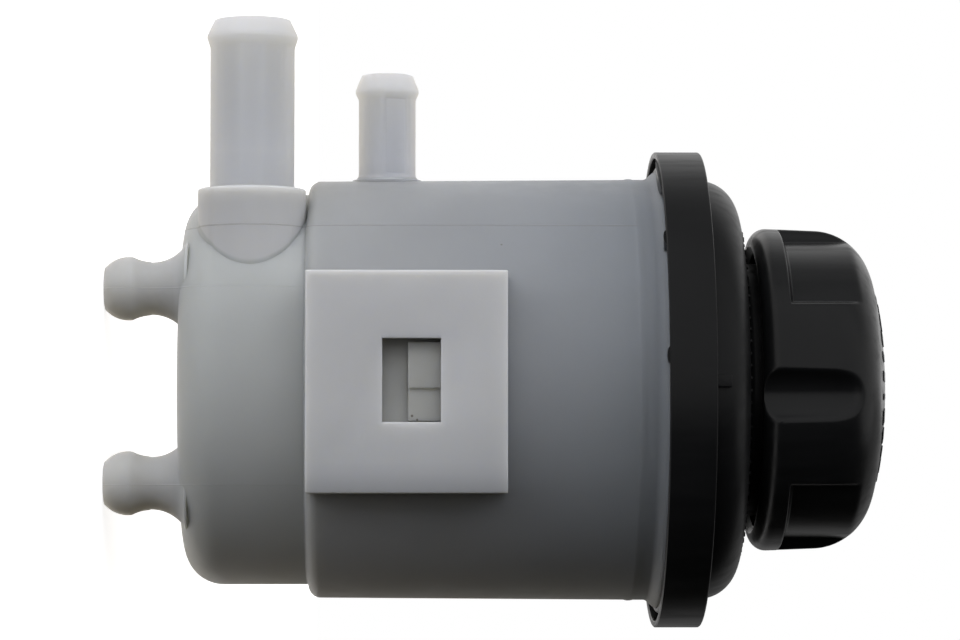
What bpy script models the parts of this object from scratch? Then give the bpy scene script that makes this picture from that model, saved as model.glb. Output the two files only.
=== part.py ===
"""Power steering fluid reservoir: a moulded tank, a welded lid and a threaded filler cap.

The frame is the one that the part is used in. +Z runs up the tank's axis to the cap, the
slide-on bracket faces -Y and both hose pipes point along -X. The origin is on the axis, in the
flat face that the two grommet pegs stand on. Sizes below are in millimetres.
"""
import math

import bmesh
import bpy
from mathutils import Matrix, Vector

MM = 0.001
MERGE = 0.00001
PAST = 5.0
OBJECT_NAME = "power_steering_reservoir"

# Facets around each kind of round piece
TANK_STEPS = 60
CAP_STEPS = 60
PIPE_STEPS = 24
PEG_STEPS = 20
THREAD_STEPS_PER_TURN = 30
GASKET_STEPS = 48
BAFFLE_STEPS = 36
VENT_STEPS = 12

# Tank
WALL = 2.4
SUMP_R = 37.8
SUMP_CORNER = 7.3
STEP_Z = 23.8
BARREL_LOW_R = 40.4
BARREL_TOP_R = 40.85
BARREL_CORNER = 2.3
FLARE_Z = 88.6
FLANGE_R = 42.4
FLANGE_Z = 91.0
TANK_TOP_Z = 95.0
INSIDE_CORNER = 5.0
LEDGE_Z = STEP_Z + WALL

# Grommet pegs under the tank, each with a waisted neck over a ball that ends flat
PEG_X = 18.35
PEG_Y = -20.0
PEG_NECK_R = 4.95
PEG_NECK_Z = -5.4
PEG_FILLET = 7.6
PEG_ROOT_Z = 1.2
PEG_ROOT_INSIDE = 4.0
PEG_BALL_R = 5.9
PEG_BALL_Z = -9.75
PEG_BALL_NECK_Z = -8.95
PEG_TIP_Z = -14.3
PEG_TIP_EDGE = 0.3
PEG_ARC_STEPS = 7
PEG_BALL_STEPS = 5

# Hose pipes: axis, shaft, bead and bore, and their reach along -X from the tank's middle plane
SUCTION = {"y": -20.2, "z": 13.4, "shaft": 7.98, "bead": 8.57, "tip": 7.3, "bore": 5.7,
           "reach": 69.3, "lead_in": 3.3, "lead_out": 2.2, "fillet": 0.3, "foot": 37.1,
           "bore_root": 21.5}
RETURN = {"y": 0.0, "z": 38.8, "shaft": 5.55, "bead": 6.15, "tip": 5.1, "bore": 3.8,
          "reach": 61.3, "lead_in": 3.2, "lead_out": 1.8, "fillet": 1.2, "foot": 40.2,
          "bore_root": 33.0}
BEAD_FLAT = 0.6
PIPE_ROOT = 34.0
FILLET_LENGTH = 1.6
FILLET_KNEE_OUT = 0.25
FILLET_KNEE_UP = 0.7
COLLAR_R = 10.25
COLLAR_REACH = 37.1
COLLAR_ROOT = 14.0

# Slide-on bracket, a pocket behind a windowed plate
BRACKET_HALF_X = 20.3
BRACKET_LOW_Z = 24.2
BRACKET_TOP_Z = 61.1
BRACKET_FRONT_Y = -45.5
BRACKET_BACK_Y = -34.0
BRACKET_PLATE = 2.2
BRACKET_ROUND = 0.3
SLOT_HALF_X = 15.5
SLOT_DEPTH = 2.5
SLOT_TOP_Z = 57.6
WINDOW_X = (-7.9, 7.4)
WINDOW_Z = (38.2, 48.9)
WINDOW_INTO_SLOT = 0.5

# Stepped catch behind the window
CATCH_Z = (42.9, 50.5)
CATCH_X = (-7.3, 7.2)
CATCH_SPLIT_X = 1.2
CATCH_HIGH = 2.1
CATCH_LOW = 1.5
CATCH_SUNK = 0.4

# Lid
SKIRT_R = 46.2
SKIRT_WALL = 1.2
SKIRT_LOW_Z = 90.6
SKIRT_TOP_Z = 99.3
SKIRT_PLATE = 2.0
SKIRT_EDGE = 0.4
WELD_GAP = 0.3
DOME_R = 40.7
DOME_ROUND = 7.2
DOME_SHOULDER_Z = 106.5
DOME_TOP_Z = 107.3
DOME_WALL = 2.2
NECK_R = 24.5
NECK_BORE = 22.2
NECK_TOP_Z = 125.4
NECK_FILLET = 1.0

# Index nub on the dome
NUB_X = (-1.5, 0.9)
NUB_Z = (98.9, 102.3)
NUB_HEIGHT = 0.9
NUB_SUNK = 1.0

# Two-start screw thread between neck and cap
LEAD = 8.0
STARTS = 2
THREAD_BASE = 2.2
THREAD_CREST = 1.1
THREAD_HEIGHT = 1.6
THREAD_ROOT = 0.8
THREAD_FACET_SHIFT_DEG = 2.0
NECK_THREAD_Z = 117.6
NECK_THREAD_TURNS = 0.7
CAP_THREAD_Z = 115.6
CAP_THREAD_TURNS = 0.8

# Filler cap: a side that leans in upwards, a round shoulder and a low crown
CAP_R = 31.34
CAP_DRAFT_DEG = 1.98
CAP_RIM_Z = 109.35
CAP_RIM_ROUND = 3.1
CAP_SHOULDER = 11.1
CAP_SHOULDER_R = 19.87
CAP_SHOULDER_Z = 121.53
CAP_CROWN_DEG = 75.0
CAP_CROWN_STEPS = 4
CAP_TOP_Z = 135.24
CAP_TOP_WALL = 2.3
CAP_BORE = 26.9
CAP_SEAT_Z = 128.2
CAP_SEAT_R = 21.6
CAP_CEILING_Z = 130.2
CAP_MOUTH_R = 28.0
CAP_MOUTH_Z = 110.5
GRIPS = 3
GRIP_CENTRE_DEG = -86.4
RECESS_FLOOR_R = 28.8
RECESS_LOW_Z = 114.6
RECESS_HALF_FLOOR_DEG = 22.5
RECESS_HALF_TOP_DEG = 28.5
RECESS_PAST = 0.1
RECESS_RAMP_STEPS = 3
RECESS_FLOOR_STEPS = 6
GROOVE_R = 5.9
GROOVE_DEPTH = 2.8
GROOVE_END_Z = 125.6
BOSS_R = 6.0
BOSS_BORE = 4.0
BOSS_LOW_Z = 125.0
VENT_X = 9.5
VENT_R = 0.8
VENT_SUNK = 1.0

# Fittings in the cap
GAP = 0.3
GASKET_INNER_R = 22.5
GASKET_OUTER_R = 26.4
GASKET_THICKNESS = 2.2
BAFFLE_OUTER_R = 13.5
BAFFLE_Z = 128.3
BAFFLE_THICKNESS = 0.9
BAFFLE_LIP = 1.0
DIPSTICK_LOW_Z = 46.0
DIPSTICK_WIDTH = 8.0
DIPSTICK_THICKNESS = 2.0
DIPSTICK_STUB_R = 3.7
DIPSTICK_COLLAR_R = 5.4
DIPSTICK_COLLAR_Z = 123.2
DIPSTICK_EDGE = 0.5
LEVEL_HOLES_Z = (58.0, 70.0)
LEVEL_HOLE_HEIGHT = 1.4

# Fluid filter on the ledge
FILTER_RING_R = 37.4
FILTER_RING_WALL = 1.6
FILTER_HEIGHT = 4.0
FILTER_SPOKES = 6
FILTER_SPOKE_WIDTH = 1.6
FILTER_SPOKE_HEIGHT = 2.0
FILTER_SPOKE_SUNK = 0.8
FILTER_HUB_R = 3.5
FILTER_HUB_RISE = 1.0
MESH_R = 35.3
MESH_THICKNESS = 0.4


def clear_scene():
    """Remove whatever objects the file opens with."""
    for scene_object in list(bpy.data.objects):
        bpy.data.objects.remove(scene_object, do_unlink=True)


def make_collection(name):
    """A collection of the scene, by name."""
    collection = bpy.data.collections.new(name)
    bpy.context.scene.collection.children.link(collection)
    return collection


def make_material(name, colour, roughness):
    """A plain plastic or rubber in one colour."""
    material = bpy.data.materials.new(name)
    material.use_nodes = True
    shader = material.node_tree.nodes["Principled BSDF"]
    shader.inputs["Base Color"].default_value = (*colour, 1.0)
    shader.inputs["Roughness"].default_value = roughness
    material.diffuse_color = (*colour, 1.0)
    return material


def arc(centre, radius, start_deg, end_deg, steps):
    """Points of a round corner, from one angle to another, both ends included."""
    angles = [math.radians(start_deg + (end_deg - start_deg) * i / steps) for i in range(steps + 1)]
    return [(centre[0] + radius * math.cos(a), centre[1] + radius * math.sin(a)) for a in angles]


def place(scene_object, collection):
    """Move an object from where it was made into a collection."""
    for old in list(scene_object.users_collection):
        old.objects.unlink(scene_object)
    collection.objects.link(scene_object)
    return scene_object


def turned(name, profile, collection, steps, closed=False):
    """A turned solid from a profile of (radius, height), which runs down the outer side."""
    mesh = bpy.data.meshes.new(name)
    points = [(radius * MM, 0.0, height * MM) for radius, height in profile]
    edges = [(i, i + 1) for i in range(len(points) - 1)]
    if closed:
        edges.append((len(points) - 1, 0))
    mesh.from_pydata(points, edges, [])
    scene_object = bpy.data.objects.new(name, mesh)
    collection.objects.link(scene_object)
    screw = scene_object.modifiers.new("turn", "SCREW")
    screw.axis = "Z"
    screw.steps = steps
    screw.render_steps = steps
    screw.use_merge_vertices = True
    screw.merge_threshold = MERGE
    return scene_object


def box(name, low, high, collection, rounding=0.0):
    """A box between two corners, with its edges rounded if asked."""
    size = [(high[i] - low[i]) * MM for i in range(3)]
    middle = [(high[i] + low[i]) * 0.5 * MM for i in range(3)]
    bpy.ops.mesh.primitive_cube_add(size=1.0, location=(0.0, 0.0, 0.0))
    scene_object = bpy.context.object
    scene_object.name = name
    scene_object.data.transform(Matrix.Diagonal((*size, 1.0)))
    scene_object.location = middle
    if rounding:
        bevel = scene_object.modifiers.new("edges", "BEVEL")
        bevel.width = rounding * MM
        bevel.segments = 2
    return place(scene_object, collection)


def rod(name, radius, low_z, high_z, collection, steps=PIPE_STEPS, x=0.0):
    """An upright cylinder."""
    bpy.ops.mesh.primitive_cylinder_add(
        vertices=steps,
        radius=radius * MM,
        depth=(high_z - low_z) * MM,
        location=(x * MM, 0.0, (low_z + high_z) * 0.5 * MM),
    )
    scene_object = bpy.context.object
    scene_object.name = name
    return place(scene_object, collection)


def lay_along_pipe(scene_object, pipe, facets_turned=0.0):
    """Turn an upright piece so that it points along -X on a pipe's axis."""
    spin = Matrix.Rotation(math.tau * facets_turned / PIPE_STEPS, 4, "Z")
    scene_object.data.transform(Matrix.Translation(scene_object.location))
    scene_object.data.transform(spin)
    scene_object.location = (0.0, pipe["y"] * MM, pipe["z"] * MM)
    scene_object.rotation_euler = (0.0, -math.pi / 2.0, 0.0)
    return scene_object


def hide_tool(scene_object):
    """Show a cutter or a joined piece as wires only, and keep it out of renders."""
    scene_object.hide_render = True
    scene_object.display_type = "WIRE"
    return scene_object


def combine(target, tool, operation):
    """Add a tool's shape to a solid, or cut it away."""
    boolean = target.modifiers.new(tool.name, "BOOLEAN")
    boolean.operation = operation
    boolean.solver = "EXACT"
    boolean.object = hide_tool(tool)


def finish(scene_object, material):
    """Give a solid its material and smooth its round faces."""
    scene_object.data.materials.append(material)
    for modifier in scene_object.modifiers:
        if modifier.type == "SCREW":
            modifier.use_smooth_shade = True
    return scene_object


def thread(name, root_r, crest_r, start_z, turns, start_deg, collection):
    """One start of a screw thread: a tapered ridge swept along its helix."""
    half_base = THREAD_BASE / 2.0
    half_crest = THREAD_CREST / 2.0
    inward = 1.0 if root_r > crest_r else -1.0
    buried_r = root_r + inward * THREAD_ROOT
    slope = (half_base - half_crest) / abs(crest_r - root_r)
    half_buried = half_base + slope * THREAD_ROOT
    section = [
        (buried_r, -half_buried),
        (crest_r, -half_crest),
        (crest_r, half_crest),
        (buried_r, half_buried),
    ]
    mesh = bpy.data.meshes.new(name)
    ridge = bmesh.new()
    corners = [ridge.verts.new((r * MM, 0.0, (start_z + z) * MM)) for r, z in section]
    face = ridge.faces.new(corners)
    steps = round(THREAD_STEPS_PER_TURN * turns)
    bmesh.ops.spin(
        ridge,
        geom=[face],
        cent=(0.0, 0.0, 0.0),
        axis=(0.0, 0.0, 1.0),
        dvec=(0.0, 0.0, LEAD * turns / steps * MM),
        angle=math.tau * turns,
        steps=steps,
    )
    bmesh.ops.recalc_face_normals(ridge, faces=ridge.faces)
    ridge.transform(Matrix.Rotation(math.radians(start_deg + THREAD_FACET_SHIFT_DEG), 4, "Z"))
    ridge.to_mesh(mesh)
    ridge.free()
    scene_object = bpy.data.objects.new(name, mesh)
    collection.objects.link(scene_object)
    return scene_object


def tank_outline():
    """Outer side of the tank, from the weld flange down to the middle of its floor."""
    step_centre = (BARREL_LOW_R - BARREL_CORNER, STEP_Z + BARREL_CORNER)
    floor_centre = (SUMP_R - SUMP_CORNER, SUMP_CORNER)
    outline = [(0.0, TANK_TOP_Z), (FLANGE_R, TANK_TOP_Z), (FLANGE_R, FLANGE_Z), (BARREL_TOP_R, FLARE_Z)]
    outline += arc(step_centre, BARREL_CORNER, 0.0, -90.0, 3)
    outline += [(SUMP_R, STEP_Z)]
    outline += arc(floor_centre, SUMP_CORNER, 0.0, -90.0, 5)
    outline += [(0.0, 0.0)]
    return outline


def tank_inside():
    """The space inside the tank: barrel, ledge and sump."""
    barrel_top_r = BARREL_TOP_R - WALL
    barrel_low_r = BARREL_LOW_R - WALL
    sump_r = SUMP_R - WALL
    floor_centre = (sump_r - INSIDE_CORNER, WALL + INSIDE_CORNER)
    outline = [(0.0, TANK_TOP_Z + PAST), (barrel_top_r, TANK_TOP_Z + PAST), (barrel_top_r, FLARE_Z)]
    outline += [(barrel_low_r, LEDGE_Z), (sump_r, LEDGE_Z)]
    outline += arc(floor_centre, INSIDE_CORNER, 0.0, -90.0, 3)
    outline += [(0.0, WALL)]
    return outline


def pipe_outline(pipe):
    """A hose pipe upright on its root: lead-in, bead and shaft."""
    crest = pipe["reach"] - pipe["lead_in"]
    return [
        (0.0, pipe["reach"]),
        (pipe["tip"], pipe["reach"]),
        (pipe["bead"], crest + BEAD_FLAT / 2.0),
        (pipe["bead"], crest - BEAD_FLAT / 2.0),
        (pipe["shaft"], crest - pipe["lead_out"]),
        (pipe["shaft"], pipe["foot"] + pipe["fillet"] * FILLET_LENGTH),
        (pipe["shaft"] + pipe["fillet"] * FILLET_KNEE_OUT, pipe["foot"] + pipe["fillet"] * FILLET_KNEE_UP),
        (pipe["shaft"] + pipe["fillet"], pipe["foot"]),
        (pipe["shaft"] + pipe["fillet"], PIPE_ROOT),
        (0.0, PIPE_ROOT),
    ]


def peg_outline():
    """A grommet peg: one hollow curve from the root to the neck and down to a ball with a flat end."""
    waist = []
    for i in range(PEG_ARC_STEPS + 1):
        height = PEG_ROOT_Z + (PEG_BALL_NECK_Z - PEG_ROOT_Z) * i / PEG_ARC_STEPS
        across = math.sqrt(PEG_FILLET ** 2 - (height - PEG_NECK_Z) ** 2)
        waist.append((PEG_NECK_R + PEG_FILLET - across, height))
    root_r = waist[0][0]
    top_deg = math.degrees(math.asin((PEG_BALL_NECK_Z - PEG_BALL_Z) / PEG_BALL_R))
    tip_deg = math.degrees(math.asin((PEG_TIP_Z + PEG_TIP_EDGE - PEG_BALL_Z) / PEG_BALL_R))
    ball = arc((0.0, PEG_BALL_Z), PEG_BALL_R, top_deg, tip_deg, PEG_BALL_STEPS)
    outline = [(0.0, PEG_ROOT_INSIDE), (root_r, PEG_ROOT_INSIDE)] + waist + ball[1:]
    outline += [(ball[-1][0] - PEG_TIP_EDGE * 2.0, PEG_TIP_Z), (0.0, PEG_TIP_Z)]
    return outline


def make_tank(parts, tools, material):
    """The one-piece tank: cup, bracket, pipes and pegs."""
    tank = turned("reservoir_body", tank_outline(), parts, TANK_STEPS)
    plate = box(
        "bracket_block",
        (-BRACKET_HALF_X, BRACKET_FRONT_Y, BRACKET_LOW_Z),
        (BRACKET_HALF_X, BRACKET_BACK_Y, BRACKET_TOP_Z),
        tools,
        BRACKET_ROUND,
    )
    combine(tank, plate, "UNION")
    collar_shape = [(0.0, COLLAR_REACH), (COLLAR_R, COLLAR_REACH)]
    collar_shape += [(COLLAR_R, COLLAR_ROOT), (0.0, COLLAR_ROOT)]
    collar = turned("suction_collar", collar_shape, tools, PIPE_STEPS)
    combine(tank, lay_along_pipe(collar, SUCTION, 0.5), "UNION")
    for name, pipe in (("suction_pipe", SUCTION), ("return_pipe", RETURN)):
        shape = turned(name, pipe_outline(pipe), tools, PIPE_STEPS)
        combine(tank, lay_along_pipe(shape, pipe), "UNION")
    for name, side in (("peg_low_x", -1.0), ("peg_high_x", 1.0)):
        peg = turned(name, peg_outline(), tools, PEG_STEPS)
        peg.location = (side * PEG_X * MM, PEG_Y * MM, 0.0)
        combine(tank, peg, "UNION")
    combine(tank, turned("tank_inside", tank_inside(), tools, TANK_STEPS), "DIFFERENCE")
    for name, pipe in (("suction_bore", SUCTION), ("return_bore", RETURN)):
        bore = rod(name, pipe["bore"], pipe["bore_root"], pipe["reach"] + PAST, tools)
        combine(tank, lay_along_pipe(bore, pipe, 0.5), "DIFFERENCE")
    slot_front_y = BRACKET_FRONT_Y + BRACKET_PLATE
    slot_back_y = slot_front_y + SLOT_DEPTH
    slot = box(
        "bracket_slot",
        (-SLOT_HALF_X, slot_front_y, BRACKET_LOW_Z - PAST),
        (SLOT_HALF_X, slot_back_y, SLOT_TOP_Z),
        tools,
    )
    combine(tank, slot, "DIFFERENCE")
    window = box(
        "bracket_window",
        (WINDOW_X[0], BRACKET_FRONT_Y - PAST, WINDOW_Z[0]),
        (WINDOW_X[1], slot_front_y + WINDOW_INTO_SLOT, WINDOW_Z[1]),
        tools,
    )
    combine(tank, window, "DIFFERENCE")
    for name, low_x, high_x, height in (
        ("catch_high", CATCH_X[0], CATCH_SPLIT_X, CATCH_HIGH),
        ("catch_low", CATCH_SPLIT_X - CATCH_SUNK, CATCH_X[1], CATCH_LOW),
    ):
        catch = box(
            name,
            (low_x, slot_back_y - height, CATCH_Z[0]),
            (high_x, slot_back_y + CATCH_SUNK, CATCH_Z[1]),
            tools,
        )
        combine(tank, catch, "UNION")
    return finish(tank, material)


def lid_outline():
    """Section of the lid: threaded neck, dome, and the skirt over the weld."""
    dome_centre = (DOME_R - DOME_ROUND, DOME_SHOULDER_Z - DOME_ROUND)
    inner_round = DOME_ROUND - DOME_WALL
    inner_r = DOME_R - DOME_WALL
    inner_top = DOME_TOP_Z - DOME_WALL
    weld_z = TANK_TOP_Z + WELD_GAP
    plate_z = SKIRT_TOP_Z - SKIRT_PLATE
    outline = [(NECK_R, NECK_TOP_Z), (NECK_R, DOME_TOP_Z + NECK_FILLET), (NECK_R + NECK_FILLET, DOME_TOP_Z)]
    outline += arc(dome_centre, DOME_ROUND, 90.0, 0.0, 4)
    outline += [(SKIRT_R - SKIRT_EDGE, SKIRT_TOP_Z)]
    outline += [(SKIRT_R, SKIRT_TOP_Z - SKIRT_EDGE), (SKIRT_R, SKIRT_LOW_Z)]
    outline += [(SKIRT_R - SKIRT_WALL, SKIRT_LOW_Z), (SKIRT_R - SKIRT_WALL, plate_z)]
    outline += [(FLANGE_R, plate_z), (FLANGE_R, weld_z), (inner_r, weld_z)]
    outline += arc(dome_centre, inner_round, 0.0, 90.0, 3)
    outline += [(NECK_BORE, inner_top), (NECK_BORE, NECK_TOP_Z)]
    return outline


def make_lid(parts, tools, material):
    """The welded lid with its thread and its small index nub."""
    lid = turned("lid", lid_outline(), parts, CAP_STEPS, closed=True)
    for start in range(STARTS):
        ridge = thread(
            f"neck_thread_{start}",
            NECK_R,
            NECK_R + THREAD_HEIGHT,
            NECK_THREAD_Z,
            NECK_THREAD_TURNS,
            360.0 * start / STARTS,
            tools,
        )
        combine(lid, ridge, "UNION")
    nub = box(
        "index_nub",
        (NUB_X[0], -DOME_R - NUB_HEIGHT, NUB_Z[0]),
        (NUB_X[1], -DOME_R + NUB_SUNK, NUB_Z[1]),
        tools,
    )
    combine(lid, nub, "UNION")
    return finish(lid, material)


def crown_arc(apex_z, rim_r, rim_z, inner_r):
    """Points of a low crown, from an inner radius out to its rim."""
    rise = apex_z - rim_z
    radius = (rim_r ** 2 + rise ** 2) / (2.0 * rise)
    rim_deg = math.degrees(math.acos(rim_r / radius))
    inner_deg = math.degrees(math.acos(inner_r / radius))
    return arc((0.0, apex_z - radius), radius, inner_deg, rim_deg, CAP_CROWN_STEPS)


def cap_outline():
    """Section of the filler cap with the boss that holds the dipstick."""
    shoulder = arc((CAP_SHOULDER_R, CAP_SHOULDER_Z), CAP_SHOULDER, CAP_CROWN_DEG, CAP_DRAFT_DEG, 7)
    outline = crown_arc(CAP_TOP_Z, *shoulder[0], 0.0)[:-1] + shoulder
    outline += arc((CAP_R - CAP_RIM_ROUND, CAP_RIM_Z + CAP_RIM_ROUND), CAP_RIM_ROUND, CAP_DRAFT_DEG, -90.0, 4)
    outline += [(CAP_MOUTH_R, CAP_RIM_Z), (CAP_BORE, CAP_MOUTH_Z), (CAP_BORE, CAP_SEAT_Z)]
    outline += [(CAP_SEAT_R, CAP_SEAT_Z)]
    outline += crown_arc(CAP_TOP_Z - CAP_TOP_WALL, CAP_SEAT_R, CAP_CEILING_Z, BOSS_R)[::-1]
    outline += [(BOSS_R, BOSS_LOW_Z), (BOSS_BORE, BOSS_LOW_Z)]
    outline += [(BOSS_BORE, CAP_CEILING_Z), (0.0, CAP_CEILING_Z)]
    return outline


def recess_cutter(name, centre_deg, collection):
    """A wide grip recess: an upright prism whose inner side is the recess floor."""
    outer_r = CAP_R + PAST
    rise_to_side = CAP_R + RECESS_PAST - RECESS_FLOOR_R
    polar = []
    for side in (-1.0, 1.0):
        ramp = []
        for i in range(RECESS_RAMP_STEPS + 1):
            share = i / RECESS_RAMP_STEPS
            angle = RECESS_HALF_FLOOR_DEG + (RECESS_HALF_TOP_DEG - RECESS_HALF_FLOOR_DEG) * share
            rise = (1.0 - math.cos(math.pi * share)) / 2.0
            ramp.append((RECESS_FLOOR_R + rise_to_side * rise, side * angle))
        polar.append(ramp)
    floor = [
        (RECESS_FLOOR_R, RECESS_HALF_FLOOR_DEG * (2.0 * i / RECESS_FLOOR_STEPS - 1.0))
        for i in range(1, RECESS_FLOOR_STEPS)
    ]
    outline = [(outer_r, -RECESS_HALF_TOP_DEG)] + polar[0][::-1] + floor
    outline += polar[1] + [(outer_r, RECESS_HALF_TOP_DEG)]
    points = []
    for radius, angle in outline:
        turn = math.radians(angle + centre_deg)
        points.append(Vector((radius * math.cos(turn), radius * math.sin(turn), RECESS_LOW_Z)) * MM)
    prism = bmesh.new()
    floor_face = prism.faces.new([prism.verts.new(point) for point in points])
    lifted = bmesh.ops.extrude_face_region(prism, geom=[floor_face])
    top = [item for item in lifted["geom"] if isinstance(item, bmesh.types.BMVert)]
    bmesh.ops.translate(prism, verts=top, vec=(0.0, 0.0, (CAP_TOP_Z + PAST - RECESS_LOW_Z) * MM))
    bmesh.ops.recalc_face_normals(prism, faces=prism.faces)
    mesh = bpy.data.meshes.new(name)
    prism.to_mesh(mesh)
    prism.free()
    scene_object = bpy.data.objects.new(name, mesh)
    collection.objects.link(scene_object)
    return scene_object


def groove_cutter(name, centre_deg, collection):
    """A finger groove: an upright rod with a ball end, open at the cap's rim."""
    outline = arc((0.0, GROOVE_END_Z), GROOVE_R, 90.0, 0.0, 4)
    outline += [(GROOVE_R, CAP_RIM_Z - PAST), (0.0, CAP_RIM_Z - PAST)]
    outline[0] = (0.0, GROOVE_END_Z + GROOVE_R)
    cutter = turned(name, outline, collection, PIPE_STEPS)
    turn = math.radians(centre_deg)
    reach = CAP_R - GROOVE_DEPTH + GROOVE_R
    cutter.location = (reach * math.cos(turn) * MM, reach * math.sin(turn) * MM, 0.0)
    return cutter


def make_cap(parts, tools, material):
    """The filler cap with its grip, thread and vent hole."""
    cap = turned("filler_cap", cap_outline(), parts, CAP_STEPS)
    spacing = 360.0 / GRIPS
    for i in range(GRIPS):
        grip_deg = GRIP_CENTRE_DEG + spacing * i
        combine(cap, groove_cutter(f"groove_{i}", grip_deg, tools), "DIFFERENCE")
        combine(cap, recess_cutter(f"recess_{i}", grip_deg + spacing / 2.0, tools), "DIFFERENCE")
    for start in range(STARTS):
        ridge = thread(
            f"cap_thread_{start}",
            CAP_BORE,
            CAP_BORE - THREAD_HEIGHT,
            CAP_THREAD_Z,
            CAP_THREAD_TURNS,
            360.0 * start / STARTS,
            tools,
        )
        combine(cap, ridge, "UNION")
    vent = rod("vent_hole", VENT_R, CAP_CEILING_Z - VENT_SUNK, CAP_TOP_Z + PAST, tools, VENT_STEPS, VENT_X)
    combine(cap, vent, "DIFFERENCE")
    return finish(cap, material)


def make_gasket(parts, material):
    """Flat rubber ring between the neck's rim and the cap."""
    low = NECK_TOP_Z + GAP
    high = low + GASKET_THICKNESS
    outline = [(GASKET_OUTER_R, high), (GASKET_OUTER_R, low), (GASKET_INNER_R, low), (GASKET_INNER_R, high)]
    return finish(turned("cap_gasket", outline, parts, GASKET_STEPS, closed=True), material)


def make_baffle(parts, material):
    """Splash ring on the cap's boss, under the vent hole."""
    inner_r = BOSS_R + GAP
    top = BAFFLE_Z + BAFFLE_THICKNESS
    lip_top = CAP_CEILING_Z - GAP
    lip_r = BAFFLE_OUTER_R - BAFFLE_LIP
    outline = [(BAFFLE_OUTER_R, lip_top), (BAFFLE_OUTER_R, BAFFLE_Z), (inner_r, BAFFLE_Z)]
    outline += [(inner_r, top), (lip_r, top), (lip_r, lip_top)]
    return finish(turned("vent_baffle", outline, parts, BAFFLE_STEPS, closed=True), material)


def make_dipstick(parts, tools, material):
    """Level blade with a round stub in the cap's boss and two level holes."""
    stub_top = CAP_CEILING_Z - GAP
    collar_top = BOSS_LOW_Z - GAP
    outline = [(0.0, stub_top), (DIPSTICK_STUB_R, stub_top), (DIPSTICK_STUB_R, collar_top)]
    outline += [(DIPSTICK_COLLAR_R, collar_top), (DIPSTICK_COLLAR_R, DIPSTICK_COLLAR_Z)]
    outline += [(0.0, DIPSTICK_COLLAR_Z)]
    dipstick = turned("dipstick", outline, parts, PIPE_STEPS)
    blade = box(
        "dipstick_blade",
        (-DIPSTICK_WIDTH / 2.0, -DIPSTICK_THICKNESS / 2.0, DIPSTICK_LOW_Z),
        (DIPSTICK_WIDTH / 2.0, DIPSTICK_THICKNESS / 2.0, DIPSTICK_COLLAR_Z + DIPSTICK_EDGE * 2.0),
        tools,
        DIPSTICK_EDGE,
    )
    combine(dipstick, blade, "UNION")
    for i, height in enumerate(LEVEL_HOLES_Z):
        hole = box(
            f"level_hole_{i}",
            (-DIPSTICK_WIDTH / 4.0, -PAST, height - LEVEL_HOLE_HEIGHT / 2.0),
            (DIPSTICK_WIDTH / 4.0, PAST, height + LEVEL_HOLE_HEIGHT / 2.0),
            tools,
        )
        combine(dipstick, hole, "DIFFERENCE")
    return finish(dipstick, material)


def make_filter(parts, tools, frame_material, mesh_material):
    """The filter disc on the ledge between barrel and sump: its frame and its mesh."""
    mesh_low = LEDGE_Z + GAP
    spoke_low = mesh_low + MESH_THICKNESS + GAP
    spoke_high = spoke_low + FILTER_SPOKE_HEIGHT
    ring_inner = FILTER_RING_R - FILTER_RING_WALL
    ring_top = mesh_low + FILTER_HEIGHT
    outline = [(FILTER_RING_R, ring_top), (FILTER_RING_R, mesh_low)]
    outline += [(ring_inner, mesh_low), (ring_inner, ring_top)]
    frame = turned("filter_frame", outline, parts, TANK_STEPS, closed=True)
    for i in range(FILTER_SPOKES // 2):
        spoke = box(
            f"filter_spoke_{i}",
            (-ring_inner - FILTER_SPOKE_SUNK, -FILTER_SPOKE_WIDTH / 2.0, spoke_low),
            (ring_inner + FILTER_SPOKE_SUNK, FILTER_SPOKE_WIDTH / 2.0, spoke_high),
            tools,
        )
        spoke.rotation_euler = (0.0, 0.0, math.tau * (i + 0.5) / FILTER_SPOKES)
        combine(frame, spoke, "UNION")
    hub = rod("filter_hub", FILTER_HUB_R, spoke_low, spoke_high + FILTER_HUB_RISE, tools)
    combine(frame, hub, "UNION")
    finish(frame, frame_material)
    mesh_top = mesh_low + MESH_THICKNESS
    mesh_shape = [(0.0, mesh_top), (MESH_R, mesh_top), (MESH_R, mesh_low), (0.0, mesh_low)]
    finish(turned("filter_mesh", mesh_shape, parts, TANK_STEPS), mesh_material)


def main():
    clear_scene()
    parts = make_collection(OBJECT_NAME)
    tools = make_collection("cutters")
    natural = make_material("natural_plastic", (0.37, 0.36, 0.33), 0.45)
    black = make_material("black_plastic", (0.014, 0.014, 0.015), 0.42)
    rubber = make_material("seal_rubber", (0.02, 0.02, 0.02), 0.7)
    white = make_material("filter_plastic", (0.62, 0.62, 0.58), 0.5)
    gauze = make_material("filter_gauze", (0.45, 0.45, 0.42), 0.7)
    make_tank(parts, tools, natural)
    make_lid(parts, tools, black)
    make_cap(parts, tools, black)
    make_gasket(parts, rubber)
    make_baffle(parts, black)
    make_dipstick(parts, tools, black)
    make_filter(parts, tools, white, gauze)


main()
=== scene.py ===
"""Looks of the power steering reservoir: fine surfaces, plastics, light and camera.

Sizes are in millimetres and follow the construction's own dimensions. +Z runs up the tank's
axis to the cap, the bracket faces -Y and the pipes point along -X.
"""

import math

import bmesh
import bpy
from mathutils import Matrix, Vector


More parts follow.
